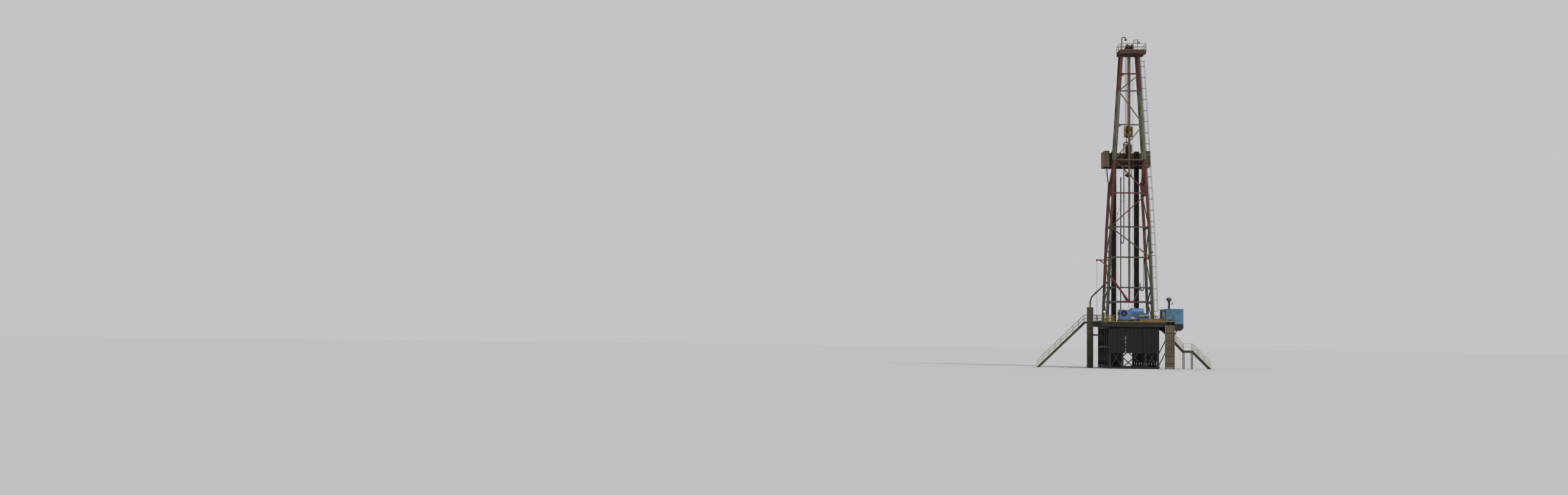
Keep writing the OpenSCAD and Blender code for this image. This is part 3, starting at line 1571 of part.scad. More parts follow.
// Service column beside the floor, with its braces and the bent pipe to the mast leg
bent_pipe = [[-column_x, -60, column_h], [-column_x, -60, 5350], [-2950, -90, 5750], [-2350, -300, 6350],
      [-1900, -leg_rear + 40, 6880]];
module service_column() {
  d = 110;
  color(pipe_dark) on_site() {
    block([-column_x - column_w / 2, -column_w / 2, 0], [-column_x + column_w / 2, column_w / 2, column_h]);
    for (z = [900, 2100, 3200, 4300])
      block([-column_x - column_w / 2 - 12, -column_w / 2 - 12, z],
         [-column_x + column_w / 2 + 12, column_w / 2 + 12, z + 60]);
    block([-column_x + column_w / 2, -90, box_top + 40], [-deck_x, 90, box_top + 280]);
    block([-column_x + column_w / 2, -60, 2600], [-box_x, 60, 2720]);
    for (k = [0:len(bent_pipe) - 2]) {
      rod(bent_pipe[k], bent_pipe[k + 1], d, 32);
      translate(bent_pipe[k + 1]) sphere(d = d * 1.15, $fn = 32);
    }
    block([-1900, -leg_rear - 40, 6800], [-leg_x(6800) - leg_w / 2 - play, -leg_rear + 90, 6960]);
  }
}

// Rack of cables that climbs to the porch of the doghouse
riser_in = deck_x + 35;
riser_w = 760;
riser_n = 9;
module cable_riser() {
  y = -deck_rear + 180;
  top = dog_low - porch_t;
  color(stair_cream) on_site() {
    for (x = [riser_in, riser_in + riser_w - 50])
      block([x, y - 90, 0], [x + 50, y, top]);
    block([riser_in, y - 20, 150], [riser_in + riser_w, y, top]);
    for (i = [1:riser_n])
      translate([riser_in + riser_w * i / (riser_n + 1), y - 44, 0])
        cylinder(d = 56, h = top, $fn = 20);
    for (z = [400:600:top - 100])
      block([riser_in, y - 90, z], [riser_in + riser_w, y - 18, z + 40]);
  }
}

// Winch davit on the left rear leg, with its line and ball
davit_z = 8700;
davit_reach = 2650;
davit_ball_z = 3950;
module leg_davit() {
  root = -leg_x(davit_z - 45) - leg_w / 2 - play;
  foot = -leg_x(davit_z - 545) - leg_w / 2 - play;
  color(mast_red) on_site() {
    upright(-leg_rear, leg_w) {
      polygon([[root, davit_z - 45], [root, davit_z + 45], [root - 40, davit_z + 45],
          [root - 40, davit_z - 45]]);
      polygon([[foot, davit_z - 545], [foot, davit_z - 455], [foot - 60, davit_z - 455],
          [foot - 60, davit_z - 545]]);
    }
    upright(-leg_rear, mast_bar) {
      strip([root - 20, davit_z], [-davit_reach - 60, davit_z], mast_bar);
      strip([foot - 30, davit_z - 500], [-davit_reach + 200, davit_z], mast_bar);
    }
    rod([-davit_reach, -leg_rear - 40, davit_z - 60], [-davit_reach, -leg_rear + 40, davit_z - 60], 120, 32);
    translate([-davit_reach, -leg_rear, davit_ball_z])
      cylinder(d = line_d, h = davit_z - davit_ball_z - 60, $fn = 16);
    translate([-davit_reach, -leg_rear, davit_ball_z]) sphere(d = 130, $fn = 32);
  }
}

left_outer_frame();
left_inner_frame();
right_inner_frame();
right_outer_frame();
box_ties();
cellar_spreaders();
weather_sheets();
floor_beams();
floor_deck();
rotary_table();
floor_rails();
pipe_ramp();
left_stair_frame();
right_stair_frame();
stair_treads();
stair_rails();
doghouse_base();
doghouse_floor();
doghouse_front_wall();
doghouse_rear_wall();
doghouse_outer_wall();
doghouse_inner_wall();
doghouse_lintel();
doghouse_roof();
doghouse_window();
doghouse_door();
doghouse_lamp();
drawworks_skid();
drawworks_housing();
drawworks_drum();
mast_feet();
mast_base_sides();
mast_lower_sides();
mast_middle_sides();
mast_top_sides();
rear_bracing_lower();
rear_bracing_upper();
mast_ladder();
crown_frame();
crown_sheaves();
crown_deck();
crown_rails();
gin_pole();
racking_board();
racking_fingers();
racking_walls();
racked_pipe();
torque_rail();
standpipe();
rotary_hose();
drilling_lines();
fast_line();
travelling_block();
top_drive();
rail_carriage();
elevator();
service_column();
cable_riser();
leg_davit();
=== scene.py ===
# %% [markdown]
# # A land drilling rig, dressed around its CAD frame
#
# The CAD model already holds every beam, wall, sheave and pipe at its real size. This
# script adds what a camera would notice next: paint with dust and rust, bolts, ribs,
# hoses, lamps and cables. It works at half of the rig's real size, in metres.
#
# Long lists of bars or bolts are never typed out. They are worked out from the rig's
# own measures, so that a reader can see where each piece stands and why.

# %% Load the frame
import math
import random

import bmesh
import bpy
from mathutils import Matrix, Vector


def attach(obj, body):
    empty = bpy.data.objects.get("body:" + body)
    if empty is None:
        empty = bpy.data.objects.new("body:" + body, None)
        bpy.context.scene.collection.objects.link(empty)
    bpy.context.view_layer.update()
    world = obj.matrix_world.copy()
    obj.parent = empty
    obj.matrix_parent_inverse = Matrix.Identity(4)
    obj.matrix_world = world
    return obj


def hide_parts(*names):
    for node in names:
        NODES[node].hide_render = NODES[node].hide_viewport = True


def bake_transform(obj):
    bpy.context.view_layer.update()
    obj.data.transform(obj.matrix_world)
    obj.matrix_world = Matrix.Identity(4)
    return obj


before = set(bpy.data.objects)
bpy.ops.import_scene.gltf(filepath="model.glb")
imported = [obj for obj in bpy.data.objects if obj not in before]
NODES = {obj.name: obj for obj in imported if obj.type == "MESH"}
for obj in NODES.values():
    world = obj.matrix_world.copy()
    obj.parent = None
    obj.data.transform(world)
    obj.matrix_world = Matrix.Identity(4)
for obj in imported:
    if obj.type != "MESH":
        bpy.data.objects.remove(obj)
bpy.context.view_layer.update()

# %% [markdown]
# ## Measures
#
# The CAD source counts in millimetres from the well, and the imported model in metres
# from the middle of its box. One function turns the first into the second, so the
# numbers below can be read beside the source. X runs to the right and Y away from the
# camera, which stood behind the drawworks.

# %% Measures shared with the CAD source
ORIGIN_X, ORIGIN_Y = -232.5, 2112.0
FLOOR_Z, DECK_X, DECK_REAR, DECK_FRONT = 3750, 2400, -2750, 3050
BOX_X, POST_LINES = 1975, [-2600, -1500, -400, 700, 1800, 2900]
REAR_Y, FRONT_Y, LOWER_Y = -800, 150, 1300
KNEE_Z, HEAD_Z, CROWN_DECK_Z = 11400, 25450, 25730
BOARD_Z, BOARD_X = 16600, 1850
DOG_IN, DOG_OUT, DOG_REAR, DOG_FRONT = 2600, 3960, -2250, 300
WALL_LOW, WALL_TOP = 3595, 4735
SIDES = (-1, 1)
LEFT, RIGHT, BACK, FRONT, DOWN, UP = (-1, 0, 0), (1, 0, 0), (0, -1, 0), (0, 1, 0), (0, 0, -1), (0, 0, 1)


def at(x, y, z):
    """A place in millimetres from the well axis, in metres in the frame."""
    return Vector(((x - ORIGIN_X) / 1000, (y - ORIGIN_Y) / 1000, z / 1000))


def leg_x(z):
    """Half the spacing of the legs at a height: the mast narrows faster below its knee."""
    if z < KNEE_Z:
        return 1825 + (1530 - 1825) * (z - FLOOR_Z) / (KNEE_Z - FLOOR_Z)
    return 1530 + (666 - 1530) * (z - KNEE_Z) / (HEAD_Z - KNEE_Z)


print("mast half width at the floor and the head:", leg_x(FLOOR_Z), leg_x(HEAD_Z))

# %% [markdown]
# ## The camera
#
# The photograph was taken from far off and low above the ground, behind the drawworks
# and a little to the left. The rig stands right of the middle, so the camera looks past
# it. Its place comes from the foot and the tip of the mast in the picture.

# %% Camera at the photograph's place
def camera_matrix(stand, yaw, pitch, roll):
    """The camera's place and turn, from angles in degrees. Yaw 0 looks along +Y."""
    yaw, pitch, roll = (math.radians(a) for a in (yaw, pitch, roll))
    forward = Vector((math.sin(yaw) * math.cos(pitch), math.cos(yaw) * math.cos(pitch), math.sin(pitch)))
    level = Vector((math.cos(yaw), -math.sin(yaw), 0))
    above = level.cross(forward)
    right = level * math.cos(roll) + above * math.sin(roll)
    up = above * math.cos(roll) - level * math.sin(roll)
    matrix = Matrix((right, up, -forward)).transposed().to_4x4()
    matrix.translation = stand
    return matrix


camera = bpy.data.objects.new("camera", bpy.data.cameras.new("camera"))
camera.data.lens, camera.data.sensor_width, camera.data.clip_end = 37.7, 36, 1000
camera.matrix_world = camera_matrix((-23.3688, -135.9616, 1.9), -1.8586, 3.2476, 0.6815)
bpy.context.scene.collection.objects.link(camera)
bpy.context.scene.camera = camera
print("camera at", tuple(round(c, 2) for c in camera.location))

# %% [markdown]
# ## Small tools for meshes
#
# Each helper adds faces to one bmesh. A box, a plate and a skin over a row of outlines
# take places in millimetres. A tube takes points in metres, because its points often
# come from a curve.

# %% Mesh helpers
def turns(n, part=0.0):
    """The angles of n even steps round a circle, shifted by a part of a step."""
    return [2 * math.pi * (i + part) / n for i in range(n)]


def add_box(bm, low, high):
    """A box between two corners."""
    a, b = at(*low), at(*high)
    a, b = Vector(map(min, a, b)), Vector(map(max, a, b))
    v = [bm.verts.new((x, y, z)) for x in (a.x, b.x) for y in (a.y, b.y) for z in (a.z, b.z)]
    for f in ((0, 1, 3, 2), (4, 6, 7, 5), (0, 4, 5, 1), (2, 3, 7, 6), (0, 2, 6, 4), (1, 5, 7, 3)):
        bm.faces.new([v[i] for i in f])


def add_plate(bm, outline, thickness, axis):
    """An outline made thick along an axis, half to each side."""
    half = Vector(axis).normalized() * thickness / 2000
    a, b = ([bm.verts.new(at(*p) + step) for p in outline] for step in (-half, half))
    bm.faces.new(a[::-1])
    bm.faces.new(b)
    for i in range(len(a)):
        j = (i + 1) % len(a)
        bm.faces.new((a[i], a[j], b[j], b[i]))


def add_skin(bm, outlines, closed=False):
    """A skin over a row of outlines. A closed row ends where it began."""
    rows = [[bm.verts.new(at(*p)) for p in outline] for outline in outlines]
    n = len(rows[0])
    for a, b in zip(rows, rows[1:] + (rows[:1] if closed else [])):
        for i in range(n):
            bm.faces.new((a[i], b[i], b[(i + 1) % n], a[(i + 1) % n]))
    if not closed:
        bm.faces.new(rows[0])
        bm.faces.new(rows[-1][::-1])


def ring_frame(direction, side=None):
    """Two unit vectors square to a direction, turned as little as possible from side."""
    d = direction.normalized()
    if side is None or abs(side.dot(d)) > 0.999:
        side = Vector(UP) if abs(d.z) < 0.9 else Vector(RIGHT)
    u = (side - d * side.dot(d)).normalized()
    return u, d.cross(u)


def add_tube(bm, points, radius, sides=8, caps=True):
    """A round tube through points. The radius, in metres, is one number or one a point."""
    radii = radius if isinstance(radius, (list, tuple)) else [radius] * len(points)
    rings, side = [], None
    for k, p in enumerate(points):
        along = points[min(k + 1, len(points) - 1)] - points[max(k - 1, 0)]
        side, across = ring_frame(along, side)
        rings.append([bm.verts.new(p + (side * math.cos(t) + across * math.sin(t)) * radii[k])
                      for t in turns(sides)])
    for a, b in zip(rings, rings[1:]):
        for i in range(sides):
            bm.faces.new((a[i], a[(i + 1) % sides], b[(i + 1) % sides], b[i]))
    if caps:
        bm.faces.new(rings[0][::-1])
        bm.faces.new(rings[-1])


def add_turned(bm, x, y, profile, sides):
    """A turned form on an upright axis: its profile is pairs of a height and a radius."""
    add_tube(bm, [at(x, y, z) for z, _ in profile], [radius / 1000 for _, radius in profile], sides)


def add_ring(bm, centre, u, v, wire, n, sides=8):
    """A wire ring about a point in metres: two vectors in millimetres reach from it to the ring."""
    points = [centre + (Vector(u) * math.cos(t) + Vector(v) * math.sin(t)) / 1000
              for t in turns(n) + [2 * math.pi]]
    add_tube(bm, points, wire / 1000, sides, caps=False)


def add_rod(bm, p, q, radius, sides=10):
    """A straight round bar between two places, all in millimetres."""
    add_tube(bm, [at(*p), at(*q)], radius / 1000, sides)


print("mesh helpers ready")

# %% [markdown]
# Two curves are enough for all the lines on the rig. One hangs between two places, and
# the other passes smoothly through a few places that are given. Both turn millimetres
# into points in metres.

# %% Curves
def hang(p, q, sag, n=14):
    """Points of a line that hangs between two places and sags in its middle."""
    a, b = at(*p), at(*q)
    return [a.lerp(b, t) - Vector((0, 0, sag / 1000 * 4 * t * (1 - t)))
            for t in (i / n for i in range(n + 1))]


def smooth(places, n=6):
    """A smooth curve through places, with n points from each place to the next."""
    p = [at(*q) for q in places]
    out = []
    for k in range(len(p) - 1):
        a, b, c, d = p[max(k - 1, 0)], p[k], p[k + 1], p[min(k + 2, len(p) - 1)]
        for t in (i / n for i in range(n)):
            out.append(0.5 * (2 * b + (c - a) * t + (2 * a - 5 * b + 4 * c - d) * t * t
                              + (3 * b - a - 3 * c + d) * t ** 3))
    return out + [p[-1]]


print("a test curve has", len(smooth([(0, 0, 0), (0, 0, 9)])), "points")

# %% [markdown]
# ## Node groups for paint
#
# Old paint on a rig in the desert carries the same marks everywhere: a slow change of
# tone, dust that settles, long runs below each edge, and rust at chips. One node group
# works them out from the object's own coordinates. It puts out masks only, and each
# material mixes its own colours with them. The helpers come first.

# %% Node helpers
def node(tree, kind, inputs=(), **settings):
    """Adds a node with its settings, and links or sets each input that is given."""
    new = tree.nodes.new(kind)
    for name, value in settings.items():
        setattr(new, name, value)
    for key, value in dict(inputs).items():
        if isinstance(value, bpy.types.NodeSocket):
            tree.links.new(value, new.inputs[key])
        else:
            new.inputs[key].default_value = value
    return new


def new_tree(name, kind, inputs, outputs):
    """An empty node group. A socket is its name, its type and, where it has one, a value."""
    tree = bpy.data.node_groups.new(name, kind + "NodeTree")
    for in_out, sockets in (("INPUT", inputs), ("OUTPUT", outputs)):
        for label, form, *value in sockets:
            socket = tree.interface.new_socket(name=label, in_out=in_out, socket_type="NodeSocket" + form)
            if value:
                socket.default_value = value[0]
    return tree, tree.nodes.new("NodeGroupInput").outputs, tree.nodes.new("NodeGroupOutput").inputs


def shader_group(name, outputs, **inputs):
    """An empty group for shaders, in which every socket is a plain number."""
    return new_tree(name, "Shader", [(label, "Float", value) for label, value in inputs.items()],
                    [(label, "Float") for label in outputs])


def give(tree, result, **sockets):
    """Links sockets to the outputs of a group."""
    for label, socket in sockets.items():
        tree.links.new(socket, result[label])
    return tree


def maths(tree, operation, a, b=0.0, clamp=False):
    """One step of arithmetic on numbers or sockets."""
    return node(tree, "ShaderNodeMath", {0: a, 1: b}, operation=operation, use_clamp=clamp).outputs[0]


def mix(tree, factor, a, b, kind="MIX"):
    """Mixes two colours, each a socket or a tuple."""
    a, b = (c if isinstance(c, bpy.types.NodeSocket) else (*c, 1) for c in (a, b))
    return node(tree, "ShaderNodeMix", {0: factor, 6: a, 7: b}, data_type="RGBA", blend_type=kind).outputs[2]


def ramp(tree, value, low, high):
    """0 below low, 1 above high, smooth between."""
    return node(tree, "ShaderNodeMapRange", {"Value": value, "From Min": low, "From Max": high},
                interpolation_type="SMOOTHSTEP").outputs["Result"]


def object_coords(tree):
    return tree.nodes.new("ShaderNodeTexCoord").outputs["Object"]


def noise(tree, coords, scale, detail=4.0, stretch=(1, 1, 1)):
    """Noise in object coordinates, stretched along an axis where a number is small."""
    moved = node(tree, "ShaderNodeMapping", {"Vector": coords, "Scale": stretch})
    return node(tree, "ShaderNodeTexNoise", {"Vector": moved.outputs[0], "Scale": scale, "Detail": detail,
                                             "Roughness": 0.6}).outputs["Fac"]


print("node helpers ready")

# %% [markdown]
# The weathering group itself has four masks and a height. The runs come from a noise
# that is stretched sixteen times along the height, so that its spots become streaks.
# Rust shows where two noises together rise above an edge, and more rust lowers the edge.

# %% The weathering group
def weathering_group():
    g, given, result = shader_group("weathering", ["Tone", "Dust", "Rust", "Runs", "Height"],
                                    Dust=0.5, Rust=0.3, Runs=0.5)
    co = object_coords(g)
    grain, patches, chips = noise(g, co, 55, 5), noise(g, co, 2.6, 6), noise(g, co, 9, 8)
    streaks = noise(g, co, 7, 4, (1, 1, 0.06))
    edge = maths(g, "SUBTRACT", 0.86, maths(g, "MULTIPLY", given["Rust"], 0.34))
    spots = maths(g, "ADD", maths(g, "MULTIPLY", chips, 0.75), maths(g, "MULTIPLY", patches, 0.25))
    rust = ramp(g, maths(g, "SUBTRACT", spots, edge), -0.05, 0.05)
    return give(g, result,
                Tone=ramp(g, noise(g, co, 0.7, 3), 0.3, 0.7),
                Dust=maths(g, "MULTIPLY", ramp(g, patches, 0.42, 0.72), given["Dust"], True),
                Rust=rust,
                Runs=maths(g, "MULTIPLY", ramp(g, streaks, 0.5, 0.74), given["Runs"], True),
                Height=maths(g, "SUBTRACT", maths(g, "MULTIPLY", grain, 0.35),
                             maths(g, "MULTIPLY", rust, 0.8)))


WEATHERING = weathering_group()
print("group outputs:", [i.name for i in WEATHERING.interface.items_tree if i.in_out == "OUTPUT"])

# %% [markdown]
# ## Patterns with a real pitch
#
# Gratings and wire rope are patterns that repeat at a known distance. Each has a group
# of its own that puts out a height, for the bump, and a mask of the gaps, which the
# materials paint dark as painted shade.

# %% Pattern groups
def xyz(tree):
    """The object's three coordinates, as sockets."""
    return node(tree, "ShaderNodeSeparateXYZ", {0: object_coords(tree)}).outputs


def stripes(tree, value, pitch, share):
    """1 on a share of each pitch along a coordinate, with soft edges, and 0 between."""
    wave = maths(tree, "FRACT", maths(tree, "DIVIDE", value, pitch))
    centred = maths(tree, "ABSOLUTE", maths(tree, "SUBTRACT", wave, 0.5))
    return ramp(tree, maths(tree, "SUBTRACT", share / 2, centred), -0.04, 0.04)


def grating_group():
    """Bearing bars every 20 mm, with lower cross bars every 50 mm."""
    g, given, result = shader_group("grating", ["Bars", "Height"], Depth=1.0)
    x, y, _ = xyz(g)
    cross_bars = maths(g, "MULTIPLY", stripes(g, y, 0.05, 0.16), 0.8)
    mask = maths(g, "MAXIMUM", stripes(g, x, 0.02, 0.3), cross_bars)
    return give(g, result, Bars=mask, Height=maths(g, "MULTIPLY", mask, given["Depth"]))


def rope_group():
    """Strands that climb round a rope, 28 mm from one to the next."""
    g, given, result = shader_group("rope_lay", ["Strand", "Height"], Depth=1.0)
    x, y, z = xyz(g)
    twist = maths(g, "ADD", z, maths(g, "MULTIPLY", maths(g, "ADD", x, y), 1.6))
    strand = stripes(g, twist, 0.028, 0.6)
    return give(g, result, Strand=strand, Height=maths(g, "MULTIPLY", strand, given["Depth"]))


GRATING, ROPE_LAY = grating_group(), rope_group()
print("pattern groups:", GRATING.name, ROPE_LAY.name)

# %% [markdown]
# ## Bands of paint
#
# The mast is painted in bands, one for each of its sections. Its lower front legs and
# the middle of its lowest girt are red too. The front legs are told from the side
# panels by how far they stand from the well at each height. The wind wall keeps its tan
# at its left end only, and the rest of it is painted dark as painted shade. Both groups
# compare coordinates in metres and put out masks.

# %% Groups for the mast's paint bands and the wind wall's painted shade
def mast_group():
    g, given, result = shader_group("mast_bands", ["Red", "Pale"], Knee=11.46, Splice=16.86, Head=22.46)
    x, y, z = xyz(g)

    def above(value, level):
        return maths(g, "GREATER_THAN", value, level)

    def below(value, level):
        return maths(g, "LESS_THAN", value, level)

    def joined(operation, first, *others):
        for other in others:
            first = maths(g, operation, first, other)
        return first

    def all_of(*masks):
        return joined("MULTIPLY", *masks)

    middle = all_of(above(z, given["Knee"]), below(z, given["Splice"]))
    pale = all_of(above(z, given["Splice"]), below(z, given["Head"]))
    from_well = maths(g, "ABSOLUTE", maths(g, "SUBTRACT", x, 0.23))
    leaning = maths(g, "ADD", from_well, maths(g, "MULTIPLY", z, 0.0386))
    front_leg = all_of(above(y, -1.35), above(leaning, 1.86))
    left_leg = all_of(front_leg, below(x, 0.0), above(z, 6.7))
    right_leg = all_of(front_leg, above(x, 0.0), above(z, 8.4))
    lowest_girt = all_of(below(from_well, 0.62), below(z, 5.5), above(z, 4.0))
    red = joined("MAXIMUM", middle, above(z, given["Head"]), left_leg, right_leg, lowest_girt)
    return give(g, result, Red=red, Pale=pale)


def painted_shade_wall_group():
    g, given, result = shader_group("wall_painted_shade", ["Pale"], Edge=-1.17)
    # The mask marks the tan left end; the rest of the wall gets the dark painted shade.
    return give(g, result, Pale=maths(g, "LESS_THAN", xyz(g)[0], given["Edge"]))


MAST_BANDS, WALL_PAINTED_SHADE_GROUP = mast_group(), painted_shade_wall_group()
print("band groups:", MAST_BANDS.name, WALL_PAINTED_SHADE_GROUP.name)

# %% [markdown]
# ## Materials
#
# Colours are written as they show on a screen, from 0 to 255, and turned into the linear
# values that a shader needs. Metallic, specular and other plain numbers stay on the
# shader itself.

# %% One function for every painted or bare metal
def screen(r, g, b):
    """A colour as a screen shows it, in linear values."""
    return tuple((c / 255 / 12.92) if c <= 10 else ((c / 255 + 0.055) / 1.055) ** 2.4 for c in (r, g, b))


DUST, RUST = (128, 110, 86), (92, 52, 33)
FADED, STAINED = (0.66, 0.66, 0.68), (0.5, 0.44, 0.38)


def group_node(tree, group, **values):
    return node(tree, "ShaderNodeGroup", values, node_tree=group)


def new_material(name):
    """A material, its node tree, and the inputs of its shader."""
    material = bpy.data.materials.new(name)
    material.use_nodes = True
    return material, material.node_tree, material.node_tree.nodes["Principled BSDF"].inputs


def raise_surface(tree, shader, height, strength, distance):
    """Bump on a shader, from a height."""
    bump = node(tree, "ShaderNodeBump", {"Strength": strength, "Distance": distance, "Height": height})
    tree.links.new(bump.outputs[0], shader["Normal"])


def metal(name, colour, roughness=0.55, dust=0.5, rust=0.3, runs=0.5, metallic=0.0, dusty=DUST,
          pattern=None, gap=None):
    """A worn metal surface. colour is a colour, or a function that puts one together.

    pattern is a group whose first output masks the gaps of a grating or a rope, and gap is their dark colour,
    a painted shade."""
    material, tree, shader = new_material(name)
    worn = group_node(tree, WEATHERING, Dust=dust, Rust=rust, Runs=runs).outputs
    plain = colour(tree) if callable(colour) else screen(*colour)
    c = mix(tree, worn["Tone"], mix(tree, 1.0, plain, FADED, "MULTIPLY"), plain)
    c = mix(tree, worn["Dust"], c, screen(*dusty))
    c = mix(tree, worn["Runs"], c, mix(tree, 1.0, c, STAINED, "MULTIPLY"))
    c = mix(tree, worn["Rust"], c, screen(*RUST))
    height = worn["Height"]
    if pattern:
        lines = group_node(tree, pattern).outputs
        # The gaps between grating bars and rope strands get a dark painted shade.
        c = mix(tree, lines[0], screen(*gap), c)
        height = maths(tree, "ADD", height, lines["Height"])
    matt = node(tree, "ShaderNodeMapRange", {"Value": maths(tree, "MAXIMUM", worn["Dust"], worn["Rust"]),
                                             "To Min": roughness, "To Max": 0.92})
    tree.links.new(c, shader["Base Color"])
    tree.links.new(matt.outputs["Result"], shader["Roughness"])
    shader["Metallic"].default_value = metallic
    raise_surface(tree, shader, height, 0.5, 0.006)
    return material


def mast_colours(tree):
    """Grey-green at the foot, then red, off-white and red again towards the crown."""
    bands = group_node(tree, MAST_BANDS).outputs
    green_or_pale = mix(tree, bands["Pale"], screen(72, 73, 60), screen(104, 103, 84))
    return mix(tree, bands["Red"], green_or_pale, screen(92, 42, 36))


def wall_colours_and_painted_shade(tree):
    """Tan on the left end of the wind wall, and a dark painted shade on the rest."""
    return mix(tree, group_node(tree, WALL_PAINTED_SHADE_GROUP).outputs["Pale"], screen(50, 42, 34), screen(122, 102, 78))


print("dust in linear values:", [round(c, 3) for c in screen(*DUST)])

# %% [markdown]
# Each entry of the table below is one finish: its colour, its roughness, how much dust,
# rust and runs it carries, how metallic it is, and the colour that dust gives it. Rubber,
# glass and lamp faces follow after it, because they don't rust.

# %% The rig's materials
def plain_material(name, colour, roughness, transmission=0.0, emission=0.0):
    """Rubber, glass or a lamp's face, with a fine grain in its colour and its bump."""
    material, tree, shader = new_material(name)
    colour = screen(*colour)
    grain = noise(tree, object_coords(tree), 40, 5)
    grey = mix(tree, ramp(tree, grain, 0.4, 0.75), colour, mix(tree, 0.35, colour, screen(*DUST)))
    tree.links.new(grey, shader["Base Color"])
    shader["Roughness"].default_value = roughness
    shader["Transmission Weight"].default_value = transmission
    if emission:
        shader["Emission Color"].default_value = (*colour, 1)
        shader["Emission Strength"].default_value = emission
    raise_surface(tree, shader, grain, 0.25, 0.002)
    return material


FINISH = {
    "black": metal("black_frame", (24, 23, 22), 0.6, 0.35, 0.25, 0.3, dusty=(54, 49, 42)),
    "olive": metal("olive_frame", (58, 56, 42), 0.6, 0.5, 0.4, 0.5, dusty=(92, 82, 64)),
    "sheet": metal("weather_sheet", (17, 17, 17), 0.85, 0.3, 0.3, 0.6, dusty=(40, 37, 33)),
    # The gap colours of the deck, the treads and the rope are painted shade in their openings and grooves.
    "deck": metal("deck_plate", (70, 66, 58), 0.65, 0.7, 0.5, 0.2, 0.3, pattern=GRATING, gap=(30, 28, 26)),
    "grating": metal("tread_grating", (96, 93, 84), 0.6, 0.5, 0.3, 0.2, 0.4,
                     pattern=GRATING, gap=(34, 32, 30)),
    "yellow_rail": metal("floor_rail", (120, 104, 48), 0.55, 0.35, 0.4, 0.5, dusty=(112, 100, 66)),
    "cream_rail": metal("stair_rail", (178, 170, 146), 0.5, 0.3, 0.25, 0.4),
    "doghouse": metal("doghouse_panel", (86, 140, 174), 0.5, 0.18, 0.15, 0.45, dusty=(108, 134, 148)),
    "doghouse_in": metal("doghouse_trim", (52, 78, 88), 0.5, 0.2, 0.2, 0.4),
    "drawworks": metal("drawworks_panel", (80, 124, 178), 0.42, 0.15, 0.15, 0.35, dusty=(106, 134, 168)),
    "drawworks_dark": metal("drawworks_frame", (48, 66, 80), 0.45, 0.3, 0.3, 0.4, dusty=(84, 88, 86)),
    "mast": metal("mast_paint", mast_colours, 0.55, 0.3, 0.3, 0.6, dusty=(96, 82, 66)),
    "mast_red": metal("red_paint", (94, 42, 36), 0.55, 0.3, 0.4, 0.5, dusty=(96, 76, 62)),
    "crown_red": metal("crown_paint", (66, 38, 32), 0.6, 0.4, 0.5, 0.5, dusty=(86, 70, 56)),
    "ladder": metal("ladder_paint", (132, 130, 108), 0.55, 0.4, 0.3, 0.4),
    "tan": metal("tan_panel", (112, 94, 74), 0.7, 0.4, 0.3, 0.6),
    "steel": metal("bare_steel", (104, 102, 98), 0.42, 0.3, 0.5, 0.2, 0.85),
    "dark_steel": metal("oily_steel", (50, 47, 43), 0.4, 0.4, 0.3, 0.3, 0.4, (76, 66, 54)),
    "pipe": metal("drill_pipe", (42, 36, 32), 0.5, 0.3, 0.7, 0.6, 0.5, (70, 58, 46)),
    "rail_brown": metal("torque_rail_steel", (104, 82, 62), 0.5, 0.4, 0.6, 0.5, 0.3),
    "rope": metal("wire_rope", (92, 80, 64), 0.5, 0.4, 0.3, 0.1, 0.6, pattern=ROPE_LAY, gap=(36, 31, 26)),
    # The wind wall's dark colour is painted shade; only its left end keeps the tan.
    "wind_wall": metal("wind_wall", wall_colours_and_painted_shade, 0.7, 0.35, 0.3, 0.6, dusty=(74, 62, 48)),
    "block_dark": metal("block_band", (58, 48, 30), 0.5, 0.4, 0.3, 0.4, dusty=(84, 70, 48)),
    "block": metal("block_yellow", (172, 124, 30), 0.45, 0.35, 0.35, 0.5, dusty=(120, 92, 50)),
    "riser": metal("cable_jacket", (122, 116, 96), 0.75, 0.5, 0.2, 0.6, dusty=(108, 99, 80)),
    "column": metal("column_paint", (62, 58, 46), 0.6, 0.5, 0.5, 0.6, dusty=(84, 74, 58)),
    "white": metal("white_paint", (196, 196, 192), 0.45, 0.3, 0.2, 0.4),
    "lamp": metal("lamp_housing", (44, 66, 74), 0.4, 0.2, 0.2, 0.2),
    "orange": metal("orange_paint", (214, 120, 74), 0.45, 0.2, 0.1, 0.2),
    "cable": metal("cable_black", (30, 29, 28), 0.55, 0.5, 0.05, 0.1, dusty=(78, 70, 58)),
    "rubber": plain_material("hose_rubber", (34, 33, 32), 0.6),
    "glass": plain_material("window_glass", (132, 150, 156), 0.12, transmission=0.6),
    "lens": plain_material("lamp_lens", (236, 234, 220), 0.2, emission=0.4),
}
print("finishes:", len(FINISH))

# %% [markdown]

# %% [markdown]
# ## The CAD nodes get their paint
#
# Every node keeps its shape and takes one of the finishes above.

